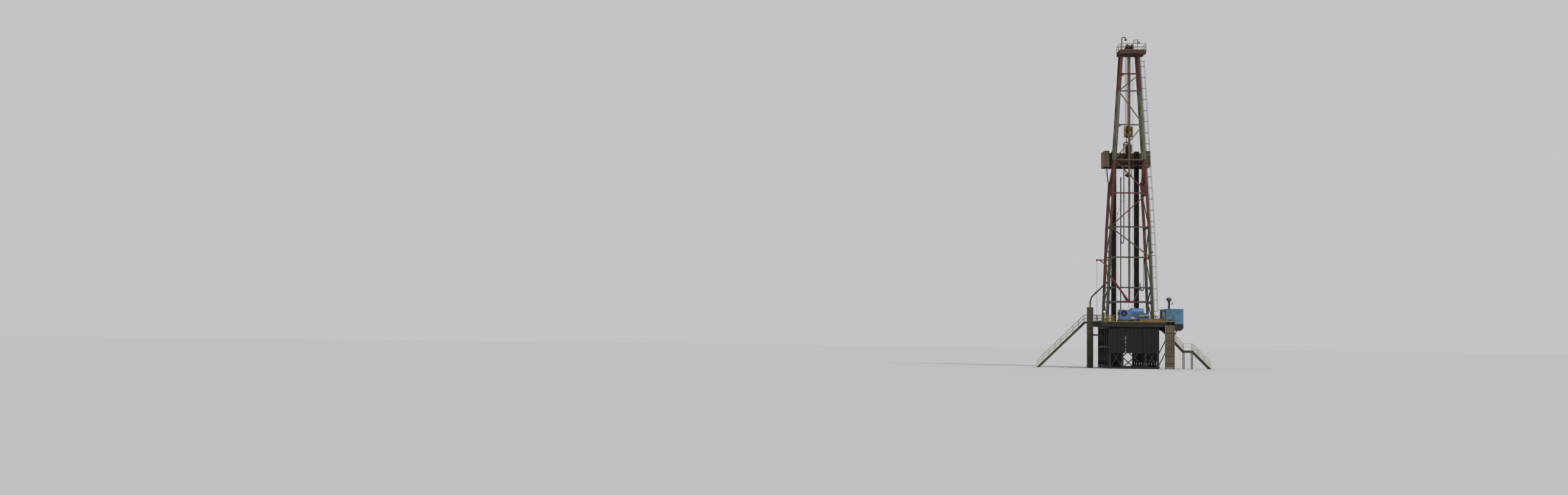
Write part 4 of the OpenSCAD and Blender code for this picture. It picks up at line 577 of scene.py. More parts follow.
# %% Finishes for the nodes
PAINT = {
    "black": "left_outer_frame left_inner_frame right_inner_frame right_outer_frame box_ties "
             "cellar_spreaders floor_beams doghouse_base pipe_ramp",
    "sheet": "weather_sheets",
    "deck": "floor_deck doghouse_floor crown_deck",
    "olive": "left_stair_frame right_stair_frame",
    "grating": "stair_treads",
    "yellow_rail": "floor_rails",
    "cream_rail": "stair_rails",
    "doghouse": "doghouse_front_wall doghouse_rear_wall doghouse_outer_wall doghouse_inner_wall "
                "doghouse_lintel doghouse_roof doghouse_door",
    "glass": "doghouse_window",
    "lamp": "doghouse_lamp",
    "drawworks": "drawworks_housing",
    "drawworks_dark": "drawworks_skid",
    "mast": "mast_base_sides mast_lower_sides mast_middle_sides mast_top_sides rear_bracing_lower "
            "rear_bracing_upper",
    "ladder": "mast_ladder",
    "crown_red": "crown_frame crown_sheaves gin_pole",
    "tan": "crown_rails",
    "wind_wall": "racking_walls",
    "steel": "drawworks_drum mast_feet racking_fingers rail_carriage",
    "dark_steel": "rotary_table racking_board standpipe top_drive elevator",
    "pipe": "racked_pipe",
    "rail_brown": "torque_rail",
    "rope": "drilling_lines fast_line",
    "block": "travelling_block",
    "riser": "cable_riser",
    "column": "service_column",
    "mast_red": "leg_davit",
    "rubber": "rotary_hose",
}
PAINT_OF = {name: finish for finish, names in PAINT.items() for name in names.split()}
for name, finish in PAINT_OF.items():
    NODES[name].data.materials.clear()
    NODES[name].data.materials.append(FINISH[finish])
print("nodes without paint:", sorted(set(NODES) - set(PAINT_OF)))

# %% [markdown]
# ## Pieces
#
# A mesh becomes a piece once it stands in the scene with its finish and with the body
# that carries it. Pieces of one kind are gathered in one object.

# %% From a mesh to a piece
def place(name, mesh):
    obj = bpy.data.objects.new(name, mesh)
    bpy.context.scene.collection.objects.link(obj)
    return obj


def dress(obj, body):
    """Hangs the piece on its body, unless it has none of its own."""
    if body:
        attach(obj, body)
    return obj


def new_mesh(name, build, shade_smooth=False):
    """Runs build(bm), and turns the result into a mesh."""
    bm = bmesh.new()
    build(bm)
    bmesh.ops.recalc_face_normals(bm, faces=bm.faces)
    mesh = bpy.data.meshes.new(name)
    bm.to_mesh(mesh)
    bm.free()
    mesh.polygons.foreach_set("use_smooth", [shade_smooth] * len(mesh.polygons))
    return mesh


def make(name, build, finish, body="rig", shade_smooth=False):
    mesh = new_mesh(name, build, shade_smooth)
    mesh.materials.append(FINISH[finish])
    return dress(place(name, mesh), body)


def boxes(name, corners, finish, body="rig"):
    """Several boxes, each from a pair of corners in millimetres."""
    return make(name, lambda bm: [add_box(bm, *pair) for pair in corners], finish, body)


def slabs(axis, low, high, rectangles):
    """Corners for boxes from low to high along an axis: u and v of two corners across it."""
    def corner(level, rest):
        return [*rest[:"xyz".index(axis)], level, *rest["xyz".index(axis):]]
    return [(corner(low, (u0, v0)), corner(high, (u1, v1))) for u0, v0, u1, v1 in rectangles]


def rods(name, lines, radius, finish, body="rig", sides=10):
    """Several straight round bars, each from a pair of ends in millimetres."""
    return make(name, lambda bm: [add_rod(bm, *ends, radius, sides) for ends in lines], finish, body)


def tubes(name, paths, radius, finish, body="rig", sides=8):
    """Several round tubes, each through points in metres."""
    return make(name, lambda bm: [add_tube(bm, path, radius / 1000, sides) for path in paths], finish, body,
                shade_smooth=True)


print("tools for pieces ready")

# %% [markdown]
# ## The rotary hose
#
# The hose is a fixed length of thick rubber. It leaves the gooseneck of the standpipe,
# hangs down the mast in a long loop, and rises to the swivel of the top drive. Its
# route repeats the one in the CAD source.

# %% The hose
HOSE_D = 0.070
HOSE = [
    (-675, -455, 15220), (-675, -455, 14900), (-675, -455, 14200), (-675, -455, 13400), (-675, -455, 12600),
    (-675, -455, 11800), (-675, -455, 11000), (-675, -455, 10600), (-650, -410, 10280), (-590, -305, 10150),
    (-502, -152, 10100), (-415, 0, 10150), (-355, 106, 10280), (-330, 150, 10600), (-330, 150, 11200),
    (-330, 150, 12200), (-330, 150, 13400), (-330, 150, 14600), (-330, 150, 15800), (-330, 150, 16800),
    (-330, 150, 17600), (-330, 150, 18080)]


def length_of(points):
    return sum((b - a).length for a, b in zip(points, points[1:]))


hose_path = smooth(HOSE, 6)
hose = make("hose_tube", lambda bm: add_tube(bm, hose_path, HOSE_D / 2, 16), "rubber", None, True)
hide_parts("rotary_hose")
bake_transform(hose)
print("hose length", round(length_of(hose_path), 3), "m")

# %% [markdown]
# ## Repeats grow in Geometry Nodes
#
# Bolts and bars repeat hundreds of times. Two node trees make them. The first sets a
# hexagonal head on every point of a mesh, turned to the direction that the point keeps
# as an attribute. The second lays one bar again and again at a fixed step. Each result
# is turned into a plain mesh at once, so nothing is left to work out later.

# %% Geometry Nodes trees
def geometry_tree(name, **inputs):
    return new_tree(name, "Geometry", [("Geometry", "Geometry"), *inputs.items()], [("Geometry", "Geometry")])


def finish_tree(g, given, result, shape, **instance):
    """Sets the shape on the points, makes it real and gives it the material."""
    copies = node(g, "GeometryNodeInstanceOnPoints", {"Instance": shape, **instance})
    real = node(g, "GeometryNodeRealizeInstances", {0: copies.outputs[0]})
    painted = node(g, "GeometryNodeSetMaterial", {"Geometry": real.outputs[0], "Material": given["Material"]})
    return give(g, result, Geometry=painted.outputs[0])


def bolt_tree():
    g, given, result = geometry_tree("bolt_heads", Radius="Float", Height="Float", Sides="Int", Seed="Int",
                                     Material="Material")
    facing = node(g, "GeometryNodeInputNamedAttribute", {"Name": "facing"}, data_type="FLOAT_VECTOR")
    align = node(g, "FunctionNodeAlignRotationToVector", {"Vector": facing.outputs[0]}, axis="Z")
    angle = node(g, "FunctionNodeRandomValue", {3: math.pi / 3, "Seed": given["Seed"]}, data_type="FLOAT")
    turn = node(g, "FunctionNodeAxisAngleToRotation", {"Axis": UP, "Angle": angle.outputs[1]})
    spin = node(g, "FunctionNodeRotateRotation", {0: align.outputs[0], 1: turn.outputs[0]},
                rotation_space="LOCAL")
    head = node(g, "GeometryNodeMeshCylinder", {"Vertices": given["Sides"], "Radius": given["Radius"],
                                                "Depth": given["Height"]})
    return finish_tree(g, given, result, head.outputs["Mesh"], Points=given["Geometry"],
                       Rotation=spin.outputs[0])


def bar_tree():
    g, given, result = geometry_tree("bar_row", Count="Int", Start="Vector", Step="Vector", Size="Vector",
                                     Material="Material")
    line = node(g, "GeometryNodeMeshLine", {"Count": given["Count"], "Start Location": given["Start"],
                                            "Offset": given["Step"]}, mode="OFFSET")
    bar = node(g, "GeometryNodeMeshCube", {"Size": given["Size"]})
    return finish_tree(g, given, result, bar.outputs["Mesh"], Points=line.outputs[0])


BOLT_TREE, BAR_TREE = bolt_tree(), bar_tree()
print("geometry trees:", BOLT_TREE.name, BAR_TREE.name)

# %% [markdown]
# Three short functions put the trees to work: one that runs a tree on a mesh, one for
# bolts at given places, and one for a row of bars between two corners. A bolt's place
# is a pair, of a point and the direction that its head faces. Two more functions lay
# such places out on a grid and on a circle.

# %% Growing bolts and bars
def grow(name, tree, mesh, finish, body, **values):
    """Runs a tree on a mesh and keeps the plain result."""
    obj = place(name, mesh)
    modifier = obj.modifiers.new("grow", "NODES")
    modifier.node_group = tree
    values["Material"] = FINISH[finish]
    for item in tree.interface.items_tree:
        if item.in_out == "INPUT" and item.name in values:
            modifier[item.identifier] = values[item.name]
    bpy.context.view_layer.update()
    plain = bpy.data.meshes.new_from_object(obj.evaluated_get(bpy.context.evaluated_depsgraph_get()))
    obj.modifiers.clear()
    obj.data = plain
    plain.name = name
    return dress(obj, body)


def bolts(name, places, radius, height, finish="dark_steel", body="rig", sides=6):
    mesh = bpy.data.meshes.new(name + "_points")
    mesh.from_pydata([at(*p) for p, _ in places], [], [])
    facing = mesh.attributes.new("facing", "FLOAT_VECTOR", "POINT")
    facing.data.foreach_set("vector", [c for _, d in places for c in Vector(d).normalized()])
    return grow(name, BOLT_TREE, mesh, finish, body, Radius=radius / 1000, Height=height / 1000, Sides=sides,
                Seed=7)


def bars(name, low, high, step, count, finish, body="rig"):
    """The box between two corners, repeated count times at a step."""
    a, b = at(*low), at(*high)
    return grow(name, BAR_TREE, bpy.data.meshes.new(name + "_host"), finish, body, Count=count,
                Start=(a + b) / 2, Step=Vector(step) / 1000, Size=Vector([abs(v) for v in b - a]))


def grid(xs, ys, zs, facing):
    """Bolt places at every crossing. A single number stands for one line."""
    xs, ys, zs = ([v] if isinstance(v, (int, float)) else v for v in (xs, ys, zs))
    return [((x, y, z), facing) for x in xs for y in ys for z in zs]


def bolt_circle(centre, radii, facing, n, part=0.0):
    """Bolt places round a centre, in the plane square to the way they face."""
    u, v = (axis for axis in range(3) if not facing[axis])
    places = []
    for t in turns(n, part):
        spot = list(centre)
        spot[u] += radii[0] * math.cos(t)
        spot[v] += radii[1] * math.sin(t)
        places.append((spot, facing))
    return places


print("a test grid has", len(grid(0, range(3), range(4), UP)), "places")

# %% [markdown]
# ## Substructure: splice plates, ribs and their bolts
#
# The two side boxes are pinned together from frames. Where a post meets a tier, a plate
# with bolts joins them. The plates stand on the outer faces, at every post and each
# tier, so their places follow from the post lines. The lowest ones stop at the skid. The
# sheets behind the boxes are screwed to their ribs.

# %% Plates and bolts of the boxes
PLATE, SKID_TIER = 9, 250
posts = [y + 75 - 30 * i for i, y in enumerate(POST_LINES)]
plates, plate_bolts = [], []
for side in SIDES:
    face, outward = side * (BOX_X + PLATE), (side, 0, 0)
    for y in posts:
        for z in (SKID_TIER, 1725, 3265):
            foot = z - (30 if z == SKID_TIER else 110)
            plates.append(((side * BOX_X, max(y - 120, -2598), foot), (face, min(y + 120, 2898), z + 110)))
            plate_bolts += grid(face, (y - 55, y + 55), (z + 20, z + 85), outward)
            if z > SKID_TIER:
                plate_bolts += grid(face, (y - 55, y + 55), z - 80, outward)
boxes("box_splice_plates", plates, "black")
bolts("box_splice_bolts", plate_bolts, 13, 16)

SHEET_GAP = 36
SHEET_W = (2 * BOX_X - 2 * SHEET_GAP) / 3
sheets = [-BOX_X + k * (SHEET_W + SHEET_GAP) for k in range(3)]
screw_columns = [x + 12 + j * (SHEET_W - 24) / 4 for x in sheets for j in range(5)]
sheet_screws = grid(screw_columns, -2640, range(1290, 3340, 150), BACK)
bolts("sheet_screws", sheet_screws, 5, 8)
boxes("sheet_edges", slabs("y", -2626, -2616, [(x + 2, z, x + SHEET_W - 2, z + 26)
                                               for x in sheets for z in (1242, 2280, 3306)]), "black")
print("plates", len(plates), "bolts", len(plate_bolts), "screws", len(sheet_screws))

# %% [markdown]
# The lugs by which the boxes are lifted, and their pins, stand at every other post.

# %% Skid lugs
lug_posts = [(side, y) for side in SIDES for y in posts[::2]]
boxes("skid_lugs", [((s * (BOX_X + 2), y - 8, 60), (s * (BOX_X + 62), y + 8, 200)) for s, y in lug_posts],
      "black")
rods("lug_pins", [((s * (BOX_X + 36), y - 40, 150), (s * (BOX_X + 36), y + 40, 150)) for s, y in lug_posts],
     12, "steel")
print("lugs", len(lug_posts))

# %% [markdown]
# ## Drill floor: edge angles, cables and the table's ring
#
# A steel angle closes the edge of the floor plates. Below it, power cables hang from
# hooks in short swags, lower between two hooks than at them. The slip ring of the
# rotary table is bolted down in a circle.

# %% Deck edge and its cables
ANGLE = 8
boxes("deck_edge_angles", slabs("z", 3700, 3752, [
    (-DECK_X, DECK_REAR - ANGLE, DECK_X, DECK_REAR), (-DECK_X - ANGLE, DECK_REAR, -DECK_X, 500),
    (-DECK_X - ANGLE, 1000, -DECK_X, DECK_FRONT), (DECK_X, 1000, DECK_X + ANGLE, DECK_FRONT)]), "olive")
hooks = [-2250 + 500 * i for i in range(10)]
rng = random.Random(5)


def swagged_cable(y, z):
    """One cable over all the hooks, with a swag of its own depth in each gap."""
    path = [at(hooks[0], y, z)]
    for a, b in zip(hooks, hooks[1:]):
        path += hang((a, y, z), (b, y, z), 46 + rng.random() * 26, 8)[1:]
    return path


swags = [swagged_cable(y, z) for y, z in ((-2762, 3600), (-2762, 3572), (-2764, 3640))]
tubes("deck_edge_cables", swags, 8, "cable", sides=6)
boxes("deck_edge_hooks", slabs("y", -2770, DECK_REAR, [(x - 6, 3560, x + 6, 3690) for x in hooks[1:-1]]),
      "dark_steel")
junctions = [(x - 45, 3540, x + 45, 3680) for x in (hooks[0], hooks[-1])]
boxes("deck_edge_junctions", slabs("y", -2776, DECK_REAR, junctions), "drawworks_dark")
bolts("table_ring_bolts", bolt_circle((0, 0, 3810), (292, 292), UP, 16), 12, 20)
deck_screws = grid(range(-2300, 2301, 200), (-2700, -1350, 950, 3000), FLOOR_Z, UP)
bolts("deck_plate_bolts", deck_screws, 7, 8, sides=8)
print("swags", len(swags), "deck screws", len(deck_screws))

# %% [markdown]
# ## Handrails and stairs
#
# The floor's handrails stand in sockets. Along the rear, slats and a ribbed kick plate
# close them, and a white box hangs there. On the stairs, each tread ends in a paler
# nosing strip that is easier to see from above. The strips repeat at the rise and the
# going of the stair, so the tree for bars can lay them in one row for each flight.

# %% Rail sockets and tread nosings
sockets = grid(range(-2380, 2381, 595), DECK_REAR - 5, FLOOR_Z, UP)
bolts("rail_sockets", sockets, 21, 60, "yellow_rail", sides=10)
boxes("rail_kick_plate", [((430, DECK_REAR, 3760), (2370, DECK_REAR + 5, 3990))], "yellow_rail")
bars("kick_plate_ribs", (430, DECK_REAR + 5, 3760), (442, DECK_REAR + 9, 3990), (148, 0, 0), 14,
     "yellow_rail")
bars("rail_slats", (-2366, DECK_REAR, 3760), (-2350, DECK_REAR + 4, 4185), (30, 0, 0), 27, "yellow_rail")
boxes("rail_box", [((-250, -2748, 3930), (60, -2690, 4080)), ((-262, -2748, 4080), (72, -2684, 4092))],
      "white")


def nosings(name, top, foot):
    """The strips of a flight between the x and z of its top and of its foot."""
    steps = round((top[1] - foot[1]) / 125)
    go, rise = (foot[0] - top[0]) / steps, (top[1] - foot[1]) / steps
    x, z = top[0] + go + math.copysign(5, go), top[1] - rise
    bars(name, (x - 9, 528, z - 2), (x + 9, 972, z + 4), (go, 0, -rise), steps - 1, "cream_rail")


def flight_bolts(x, run, drop, steps, below, last):
    """Bolts on both stringers, below every second tread up to the last."""
    return [((x + run * i / steps, y, FLOOR_Z - drop * i / steps - below), facing)
            for i in range(1, last, 2) for y, facing in ((495, BACK), (1005, FRONT))]


nosings("left_nosings", (-3415, FLOOR_Z), (-7265, 0))
nosings("right_upper_nosings", (2400, FLOOR_Z), (4560, 1500))
nosings("right_lower_nosings", (5300, 1500), (6800, 0))
tread_bolts = flight_bolts(-3415, -3850, 3750, 30, 60, 29) + flight_bolts(2400, 2160, 2250, 18, 70, 18)
bolts("tread_bolts", tread_bolts, 8, 10)
print("sockets", len(sockets), "tread bolts", len(tread_bolts))

# %% [markdown]
# ## Doghouse: a ribbed steel cabin
#
# The cabin's walls are sheet steel with pressed ribs and a light blue paint. A screwed
# frame holds the window that looks onto the drill floor. The ribs repeat at one pitch
# and leave out the door and the window.

# %% Ribs, window frame and roof
def wall_ribs(axis, face, reach, places, low=WALL_LOW + 20):
    return slabs(axis, face, face + reach, [(p, low, p + 26, WALL_TOP - 20) for p in places])


ribs = wall_ribs("y", DOG_REAR, -7, range(3170, 3940, 96))
ribs += wall_ribs("x", DOG_OUT, 7, range(-2200, 260, 96))
ribs += wall_ribs("y", DOG_FRONT, 7, range(2650, 3940, 96))
ribs += wall_ribs("x", DOG_IN, -7, [y for y in range(-2200, 260, 96) if not -1770 < y < -450], 3800)
boxes("doghouse_ribs", ribs, "doghouse")
window_frame = slabs("x", DOG_IN - 12, DOG_IN, [(-1740, 4080, -460, 4120), (-1740, 4560, -460, 4600),
                                                (-1740, 4120, -1700, 4560), (-500, 4120, -460, 4560)])
mullion = slabs("x", DOG_IN - 9, DOG_IN - 1, [(-1110, 4120, -1090, 4560)])
boxes("driller_window_frame", window_frame + mullion, "doghouse_in")
bolts("window_screws", grid(DOG_IN - 12, range(-1720, -470, 124), (4100, 4580), LEFT), 5, 6, "steel", sides=8)
boxes("doghouse_roof_ribs", slabs("z", 4780, 4788, [(x, DOG_REAR + 10, x + 30, DOG_FRONT - 10)
                                                    for x in range(2660, 3930, 210) if not 2730 < x < 2960]),
      "doghouse")
boxes("doghouse_gutter", slabs("z", 4724, 4770, [
    (DOG_IN - 18, DOG_REAR - 18, DOG_OUT + 18, DOG_REAR - 10),
    (DOG_IN - 18, DOG_FRONT + 10, DOG_OUT + 18, DOG_FRONT + 18),
    (DOG_OUT + 10, DOG_REAR - 10, DOG_OUT + 18, DOG_FRONT + 10)]), "doghouse_in")
print("ribs", len(ribs))

# %% [markdown]
# The door carries a glass pane, a trim and a kick plate, which ride on the door's own
# body and so turn with it. The dome lamp on the pole has a wire guard of four arches,
# and beside it hangs a smaller lamp with a pale shade.

# %% Door glass, pole lamps and underframe bolts
boxes("door_glass", [((2776, -2238, 4272), (2979, -2236, 4548))], "glass", "door")
door_trim = slabs("y", -2256, -2250, [(2766, 4256, 2990, 4270), (2766, 4550, 2990, 4564),
                                      (2766, 4270, 2780, 4550), (2976, 4270, 2990, 4550)])
boxes("door_trim", door_trim + [((2700, -2253, 3790), (3050, -2250, 3930))], "doghouse_in", "door")
bolts("door_screws", grid((2715, 2875, 3035), -2253, (3805, 3915), BACK), 5, 6, "steel", "door", sides=8)
SIDE_LAMP, POLE_LAMP, LAMP_CENTRE = (3140, -2080), (2860, -2080), 5520


def dome_guard(bm):
    x, y = POLE_LAMP
    for t in (math.pi * i / 4 for i in range(4)):
        arch = [(222 * math.cos(a), 170 * math.sin(a)) for a in (math.pi * k / 12 for k in range(13))]
        add_tube(bm, [at(x + math.cos(t) * out, y + math.sin(t) * out, LAMP_CENTRE + rise)
                      for out, rise in arch], 0.006, 6)


shade = [(5176, 40), (5176, 88), (5252, 82), (5252, 20)]
make("side_lamp_shade", lambda bm: add_turned(bm, *SIDE_LAMP, shade, 24), "white")
rods("side_lamp_cap", [((*SIDE_LAMP, 5250), (*SIDE_LAMP, 5284))], 70, "orange", sides=24)
rods("side_lamp_glass", [((*SIDE_LAMP, 5146), (*SIDE_LAMP, 5162))], 46, "lens", sides=20)
make("pole_lamp_guard", dome_guard, "dark_steel", shade_smooth=True)
bolts("underframe_bolts", grid((2700, 3000, 3300, 3600), DOG_REAR, (3100, 3480), BACK), 13, 16)
print("side lamp at", SIDE_LAMP, "dome lamp at", POLE_LAMP)

# %% [markdown]
# ## Drawworks: louvres, flanges and a guard
#
# The winch's cover has cooling louvres pressed into its rear face. Each of the five
# recesses gets a row of slats at the same pitch, laid by the tree for bars. The cover
# and the chain case are closed by flanges with a bolt every few centimetres. The motor
# has cooling fins, and two pale caps stand on the cover.

# %% Louvres, flange bolts and the motor
COVER_Y, MOTOR_Y, MOTOR_Z = -2500, -2060, 4180
for k in range(5):
    x = -70 + 170 * k
    bars(f"cover_louvres_{k}", (x + 2, COVER_Y + 1, 3996), (x + 128, COVER_Y + 7, 4012), (0, 0, 31), 14,
         "drawworks_dark")
case_bolts = grid(range(-130, 801, 78), COVER_Y, (3925, 4475), BACK)
case_bolts += grid((-132, 792), COVER_Y, range(3990, 4440, 72), BACK)
case_bolts += bolt_circle((-1090, -2050, 4270), (380, 330), LEFT, 18)
bolts("drawworks_bolts", case_bolts, 9, 10)
boxes("cover_bands", slabs("y", COVER_Y - 6, COVER_Y, [(-150, 4458, 810, 4492), (-150, 3884, 810, 3940),
                                                       (794, 3940, 810, 4458), (-150, 3940, -134, 4458)]),
      "drawworks_dark")


def motor_fins(bm):
    for x in range(872, 1236, 22):
        section = [(x, 238), (x, 252), (x + 7, 252), (x + 7, 238)]
        add_skin(bm, [[(x_on, MOTOR_Y + r * math.cos(t), MOTOR_Z + r * math.sin(t)) for x_on, r in section]
                      for t in turns(32)], closed=True)


def vent_caps(bm):
    for x in (90, 470):
        add_turned(bm, x, -2200, [(4808, 43), (4856, 43), (4856, 62), (4888, 50)], 20)


make("motor_fins", motor_fins, "drawworks")
bolts("motor_cover_bolts", bolt_circle((1250, MOTOR_Y, MOTOR_Z), (205, 205), RIGHT, 10), 10, 10)
make("cover_vent_caps", vent_caps, "white")
leads = [smooth([(x, -2300 - dy, 3860), (x + 20, -2420 - dy, 3990), (x + 30, -2430 - dy, 4200),
                 (x + 70, -2380 - dy, 4330), (x + 130, -2240, 4320)]) for x, dy in ((830, 0), (862, 26))]
tubes("motor_leads", leads, 13, "cable")
print("case bolts", len(case_bolts))

# %% [markdown]
# A steel band lies round each flange of the drum, with a gap where its ends are pulled
# together. A white roll lies behind the rear rail on two brackets.

# %% Band brakes and the roll on the rail
DRUM_Y, DRUM_Z, BAND_W = -2000, 4390, 40


def band_brakes(bm):
    for x in (-892, -228):
        section = [(x, 332), (x + BAND_W, 332), (x + BAND_W, 346), (x, 346)]
        add_skin(bm, [[(x_on, DRUM_Y + r * math.cos(t), DRUM_Z + r * math.sin(t)) for x_on, r in section]
                      for t in (2 * math.pi * (0.02 + 0.96 * k / 40) - math.pi / 2 for k in range(41))])


make("band_brakes", band_brakes, "orange")
boxes("rear_pipe_brackets", slabs("y", -2752, -2716, [(x - 12, 3752, x + 12, 4190) for x in (520, 1210)]),
      "yellow_rail")
make("rail_roll", lambda bm: add_tube(bm, [at(x, -2700, 4215) for x in (413, 413, 430, 1302, 1319)],
                                      [0.012, 0.04, 0.046, 0.046, 0.03], 20), "white")
print("brake bands", 2)

# %% [markdown]
# Seen from the rear, a sheet guard hides the drum, and a round fan in it cools the
# brakes. The photograph shows only a dark wheel with a blue hub in a blue panel there,
# so the place and the size of the fan follow the picture, and its blades are a guess.
# The sheet is a ring of faces: each ray from the fan's centre meets its round opening
# first and then its straight edge.

# %% Drum guard and brake fan
FAN_X, FAN_Z, FAN_R, CAGE_Y = -770, 4390, 255, -2513
GUARD_LEFT, GUARD_RIGHT, GUARD_LOW, GUARD_TOP = -1085, -158, 3884, 4670
GUARD_REAR, GUARD_FRONT = -2510, -2502


def fan_point(r, turn, y):
    return FAN_X + r * math.cos(turn), y, FAN_Z + r * math.sin(turn)


def guard_reach(turn):
    """How far the sheet's edge is from the fan's centre in one direction."""
    c, s = math.cos(turn), math.sin(turn)
    sideways = ((GUARD_RIGHT if c > 0 else GUARD_LEFT) - FAN_X) / c if abs(c) > 1e-6 else math.inf
    upright = ((GUARD_TOP if s > 0 else GUARD_LOW) - FAN_Z) / s if abs(s) > 1e-6 else math.inf
    return min(sideways, upright)


def drum_guard(bm):
    corners = {math.atan2(z - FAN_Z, x - FAN_X) % (2 * math.pi)
               for x in (GUARD_LEFT, GUARD_RIGHT) for z in (GUARD_LOW, GUARD_TOP)}
    rays = sorted(corners | set(turns(48)))
    add_skin(bm, [[fan_point(r, t, y) for r, y in ((FAN_R, GUARD_REAR), (guard_reach(t), GUARD_REAR),
                                                   (guard_reach(t), GUARD_FRONT), (FAN_R, GUARD_FRONT))]
                  for t in rays], closed=True)


def fan_blades(bm):
    add_tube(bm, [at(FAN_X, y, FAN_Z) for y in (-2502, -2502, -2420, -2420, -2424, -2424)],
             [0.247, 0.255, 0.255, 0.24, 0.24, 0.02], 48)
    for t in turns(9):
        add_plate(bm, [fan_point(70, t, -2490), fan_point(238, t + 0.1, -2486),
                       fan_point(238, t + 0.5, -2450), fan_point(70, t + 0.55, -2446)], 5, FRONT)


def fan_cage(bm):
    for r in (105, 155, 205, 250):
        add_ring(bm, at(FAN_X, CAGE_Y, FAN_Z), (r, 0, 0), (0, 0, r), 4, 36, 6)
    for t in turns(8, 0.5):
        add_rod(bm, fan_point(60, t, CAGE_Y), fan_point(264, t, CAGE_Y), 5, 6)


make("drum_guard", drum_guard, "drawworks")
make("brake_fan", fan_blades, "black")
make("fan_cage", fan_cage, "dark_steel", shade_smooth=True)
rods("fan_hub", [((FAN_X, -2516, FAN_Z), (FAN_X, -2440, FAN_Z))], 72, "drawworks", sides=24)
guard_bolts = grid(range(-1060, -170, 98), GUARD_REAR, (3912, 4645), BACK)
guard_bolts += grid((-1060, -180), GUARD_REAR, range(4000, 4600, 92), BACK)
bolts("guard_bolts", guard_bolts, 8, 9)
print("guard bolts", len(guard_bolts))

# %% [markdown]
# ## Mast: joints, gussets and lamps
#
# The mast comes to the site in sections. At each joint the legs meet in a pair of bolted
# plates. The same loop places them on all the legs that pass a joint, from the spacing
# of the legs at that height. Below the board the front legs stand farther forward. At
# the crown there is one thin plate, bolted from below.

# %% Joint plates
CROWN_JOINT = 25437
rim = [(dx, dy) for dx in (-110, 110) for dy in (-110, -38, 38, 110)]
rim += [(dx, dy) for dx in (-38, 38) for dy in (-110, 110)]
joint_plates, joint_bolts = [], []
for z in (KNEE_Z, 16850, 22450, CROWN_JOINT):
    low_z, high_z = (z - 13, z - 1) if z == CROWN_JOINT else (z - 15, z + 15)
    for side in SIDES:
        for y in (REAR_Y, LOWER_Y if z == KNEE_Z else FRONT_Y):
            x = side * leg_x(z)
            joint_plates.append(((x - 122, y - 122, low_z), (x + 122, y + 122, high_z)))
            joint_bolts += [((x + dx, y + dy, low_z), DOWN) for dx, dy in rim]
            if z != CROWN_JOINT:
                joint_bolts += [((x + dx, y + dy, high_z), UP) for dx, dy in rim]
boxes("mast_joint_plates", joint_plates, "mast")
bolts("mast_joint_bolts", joint_bolts, 10, 18)
print("joint plates", len(joint_plates), "bolts", len(joint_bolts))

# %% [markdown]
# Where a girt meets a rear leg, a gusset carries its end. The gussets are thin plates on
# the rear face of the mast, with the slope of the leg cut into their outer edge.

# %% Gussets of the rear face
GIRTS = (5350, 6500, 8950, 14150, 19700, 23850)
LEG_EDGE = 96
GUSSET = [(0, -200), (60, -200), (200, -110), (200, 0), (60, 90), (0, 90)]


def rear_gussets(bm):
    for z in GIRTS:
        for side in SIDES:
            add_plate(bm, [(side * (leg_x(z + rise) - LEG_EDGE - inward), REAR_Y - 42, z + rise)
                           for inward, rise in GUSSET], 8, FRONT)


make("rear_gussets", rear_gussets, "mast")
gusset_bolts = [((side * (leg_x(z) - LEG_EDGE - inward), REAR_Y - 46, z - 55 + dz), BACK)
                for z in GIRTS for side in SIDES for inward in (40, 90, 140, 185) for dz in (-30, 30)]
bolts("gusset_bolts", gusset_bolts, 8, 10)
print("gusset bolts", len(gusset_bolts))

# %% [markdown]
# A white flood lamp hangs on the left rear leg above the floor, and smaller lamps sit
# higher on the legs. Their cables run up the leg under clamps. Each leaves a junction
# box at the floor and ends in another higher up, as a real cable never just stops.

# %% Flood lamps and their cables
boxes("leg_flood_lamp", [((-2130, -870, 4470), (-1960, -770, 4610)),
                         ((-2138, -880, 4604), (-1952, -760, 4618))], "white")
boxes("flood_lamp_bracket", [((-1962, -835, 4500), (-1880, -805, 4540))], "dark_steel")
boxes("flood_lamp_glass", [((-2118, -874, 4484), (-1972, -870, 4596))], "lens")
lamp_spots = [(z, side, leg_x(z)) for z, side in ((9300, -1), (9300, 1), (18050, -1))]
boxes("mast_lamps", [((side * (x + 104), REAR_Y - 150, z), (side * (x + 204), REAR_Y - 60, z + 150))
                     for z, side, x in lamp_spots], "lamp")
boxes("mast_lamp_arms", [((side * (x + 60), REAR_Y - 112, z + 60), (side * (x + 110), REAR_Y - 88, z + 84))
                         for z, side, x in lamp_spots], "dark_steel")


def leg_cable(inward, top, first):
    """A cable up the left rear leg, which lies alternately a little nearer and farther."""
    return [at(inward - leg_x(z), REAR_Y - 108 - 3 * ((z // 400 + first) % 2), z)
            for z in range(3900, top + 1, 400)]


tubes("mast_cable_run", [leg_cable(70, 25200, 0), leg_cable(46, 18100, 1)], 8, "cable", sides=6)
cable_ends = [(inward - leg_x(z), half, z)
              for z, inward, half in ((3900, 58, 56), (25200, 70, 40), (18100, 46, 34))]
boxes("mast_cable_boxes", slabs("y", REAR_Y - 136, REAR_Y - 96, [
    (x - half, z - 60, x + half, z + 60) for x, half, z in cable_ends]), "drawworks_dark")
boxes("cable_clamps", slabs("y", REAR_Y - 120, REAR_Y - 98, [(92 - leg_x(z), z, 26 - leg_x(z), z + 16)
                                                             for z in range(4300, 25000, 800)]), "dark_steel")
print("lamps", len(lamp_spots), "cable boxes", len(cable_ends))

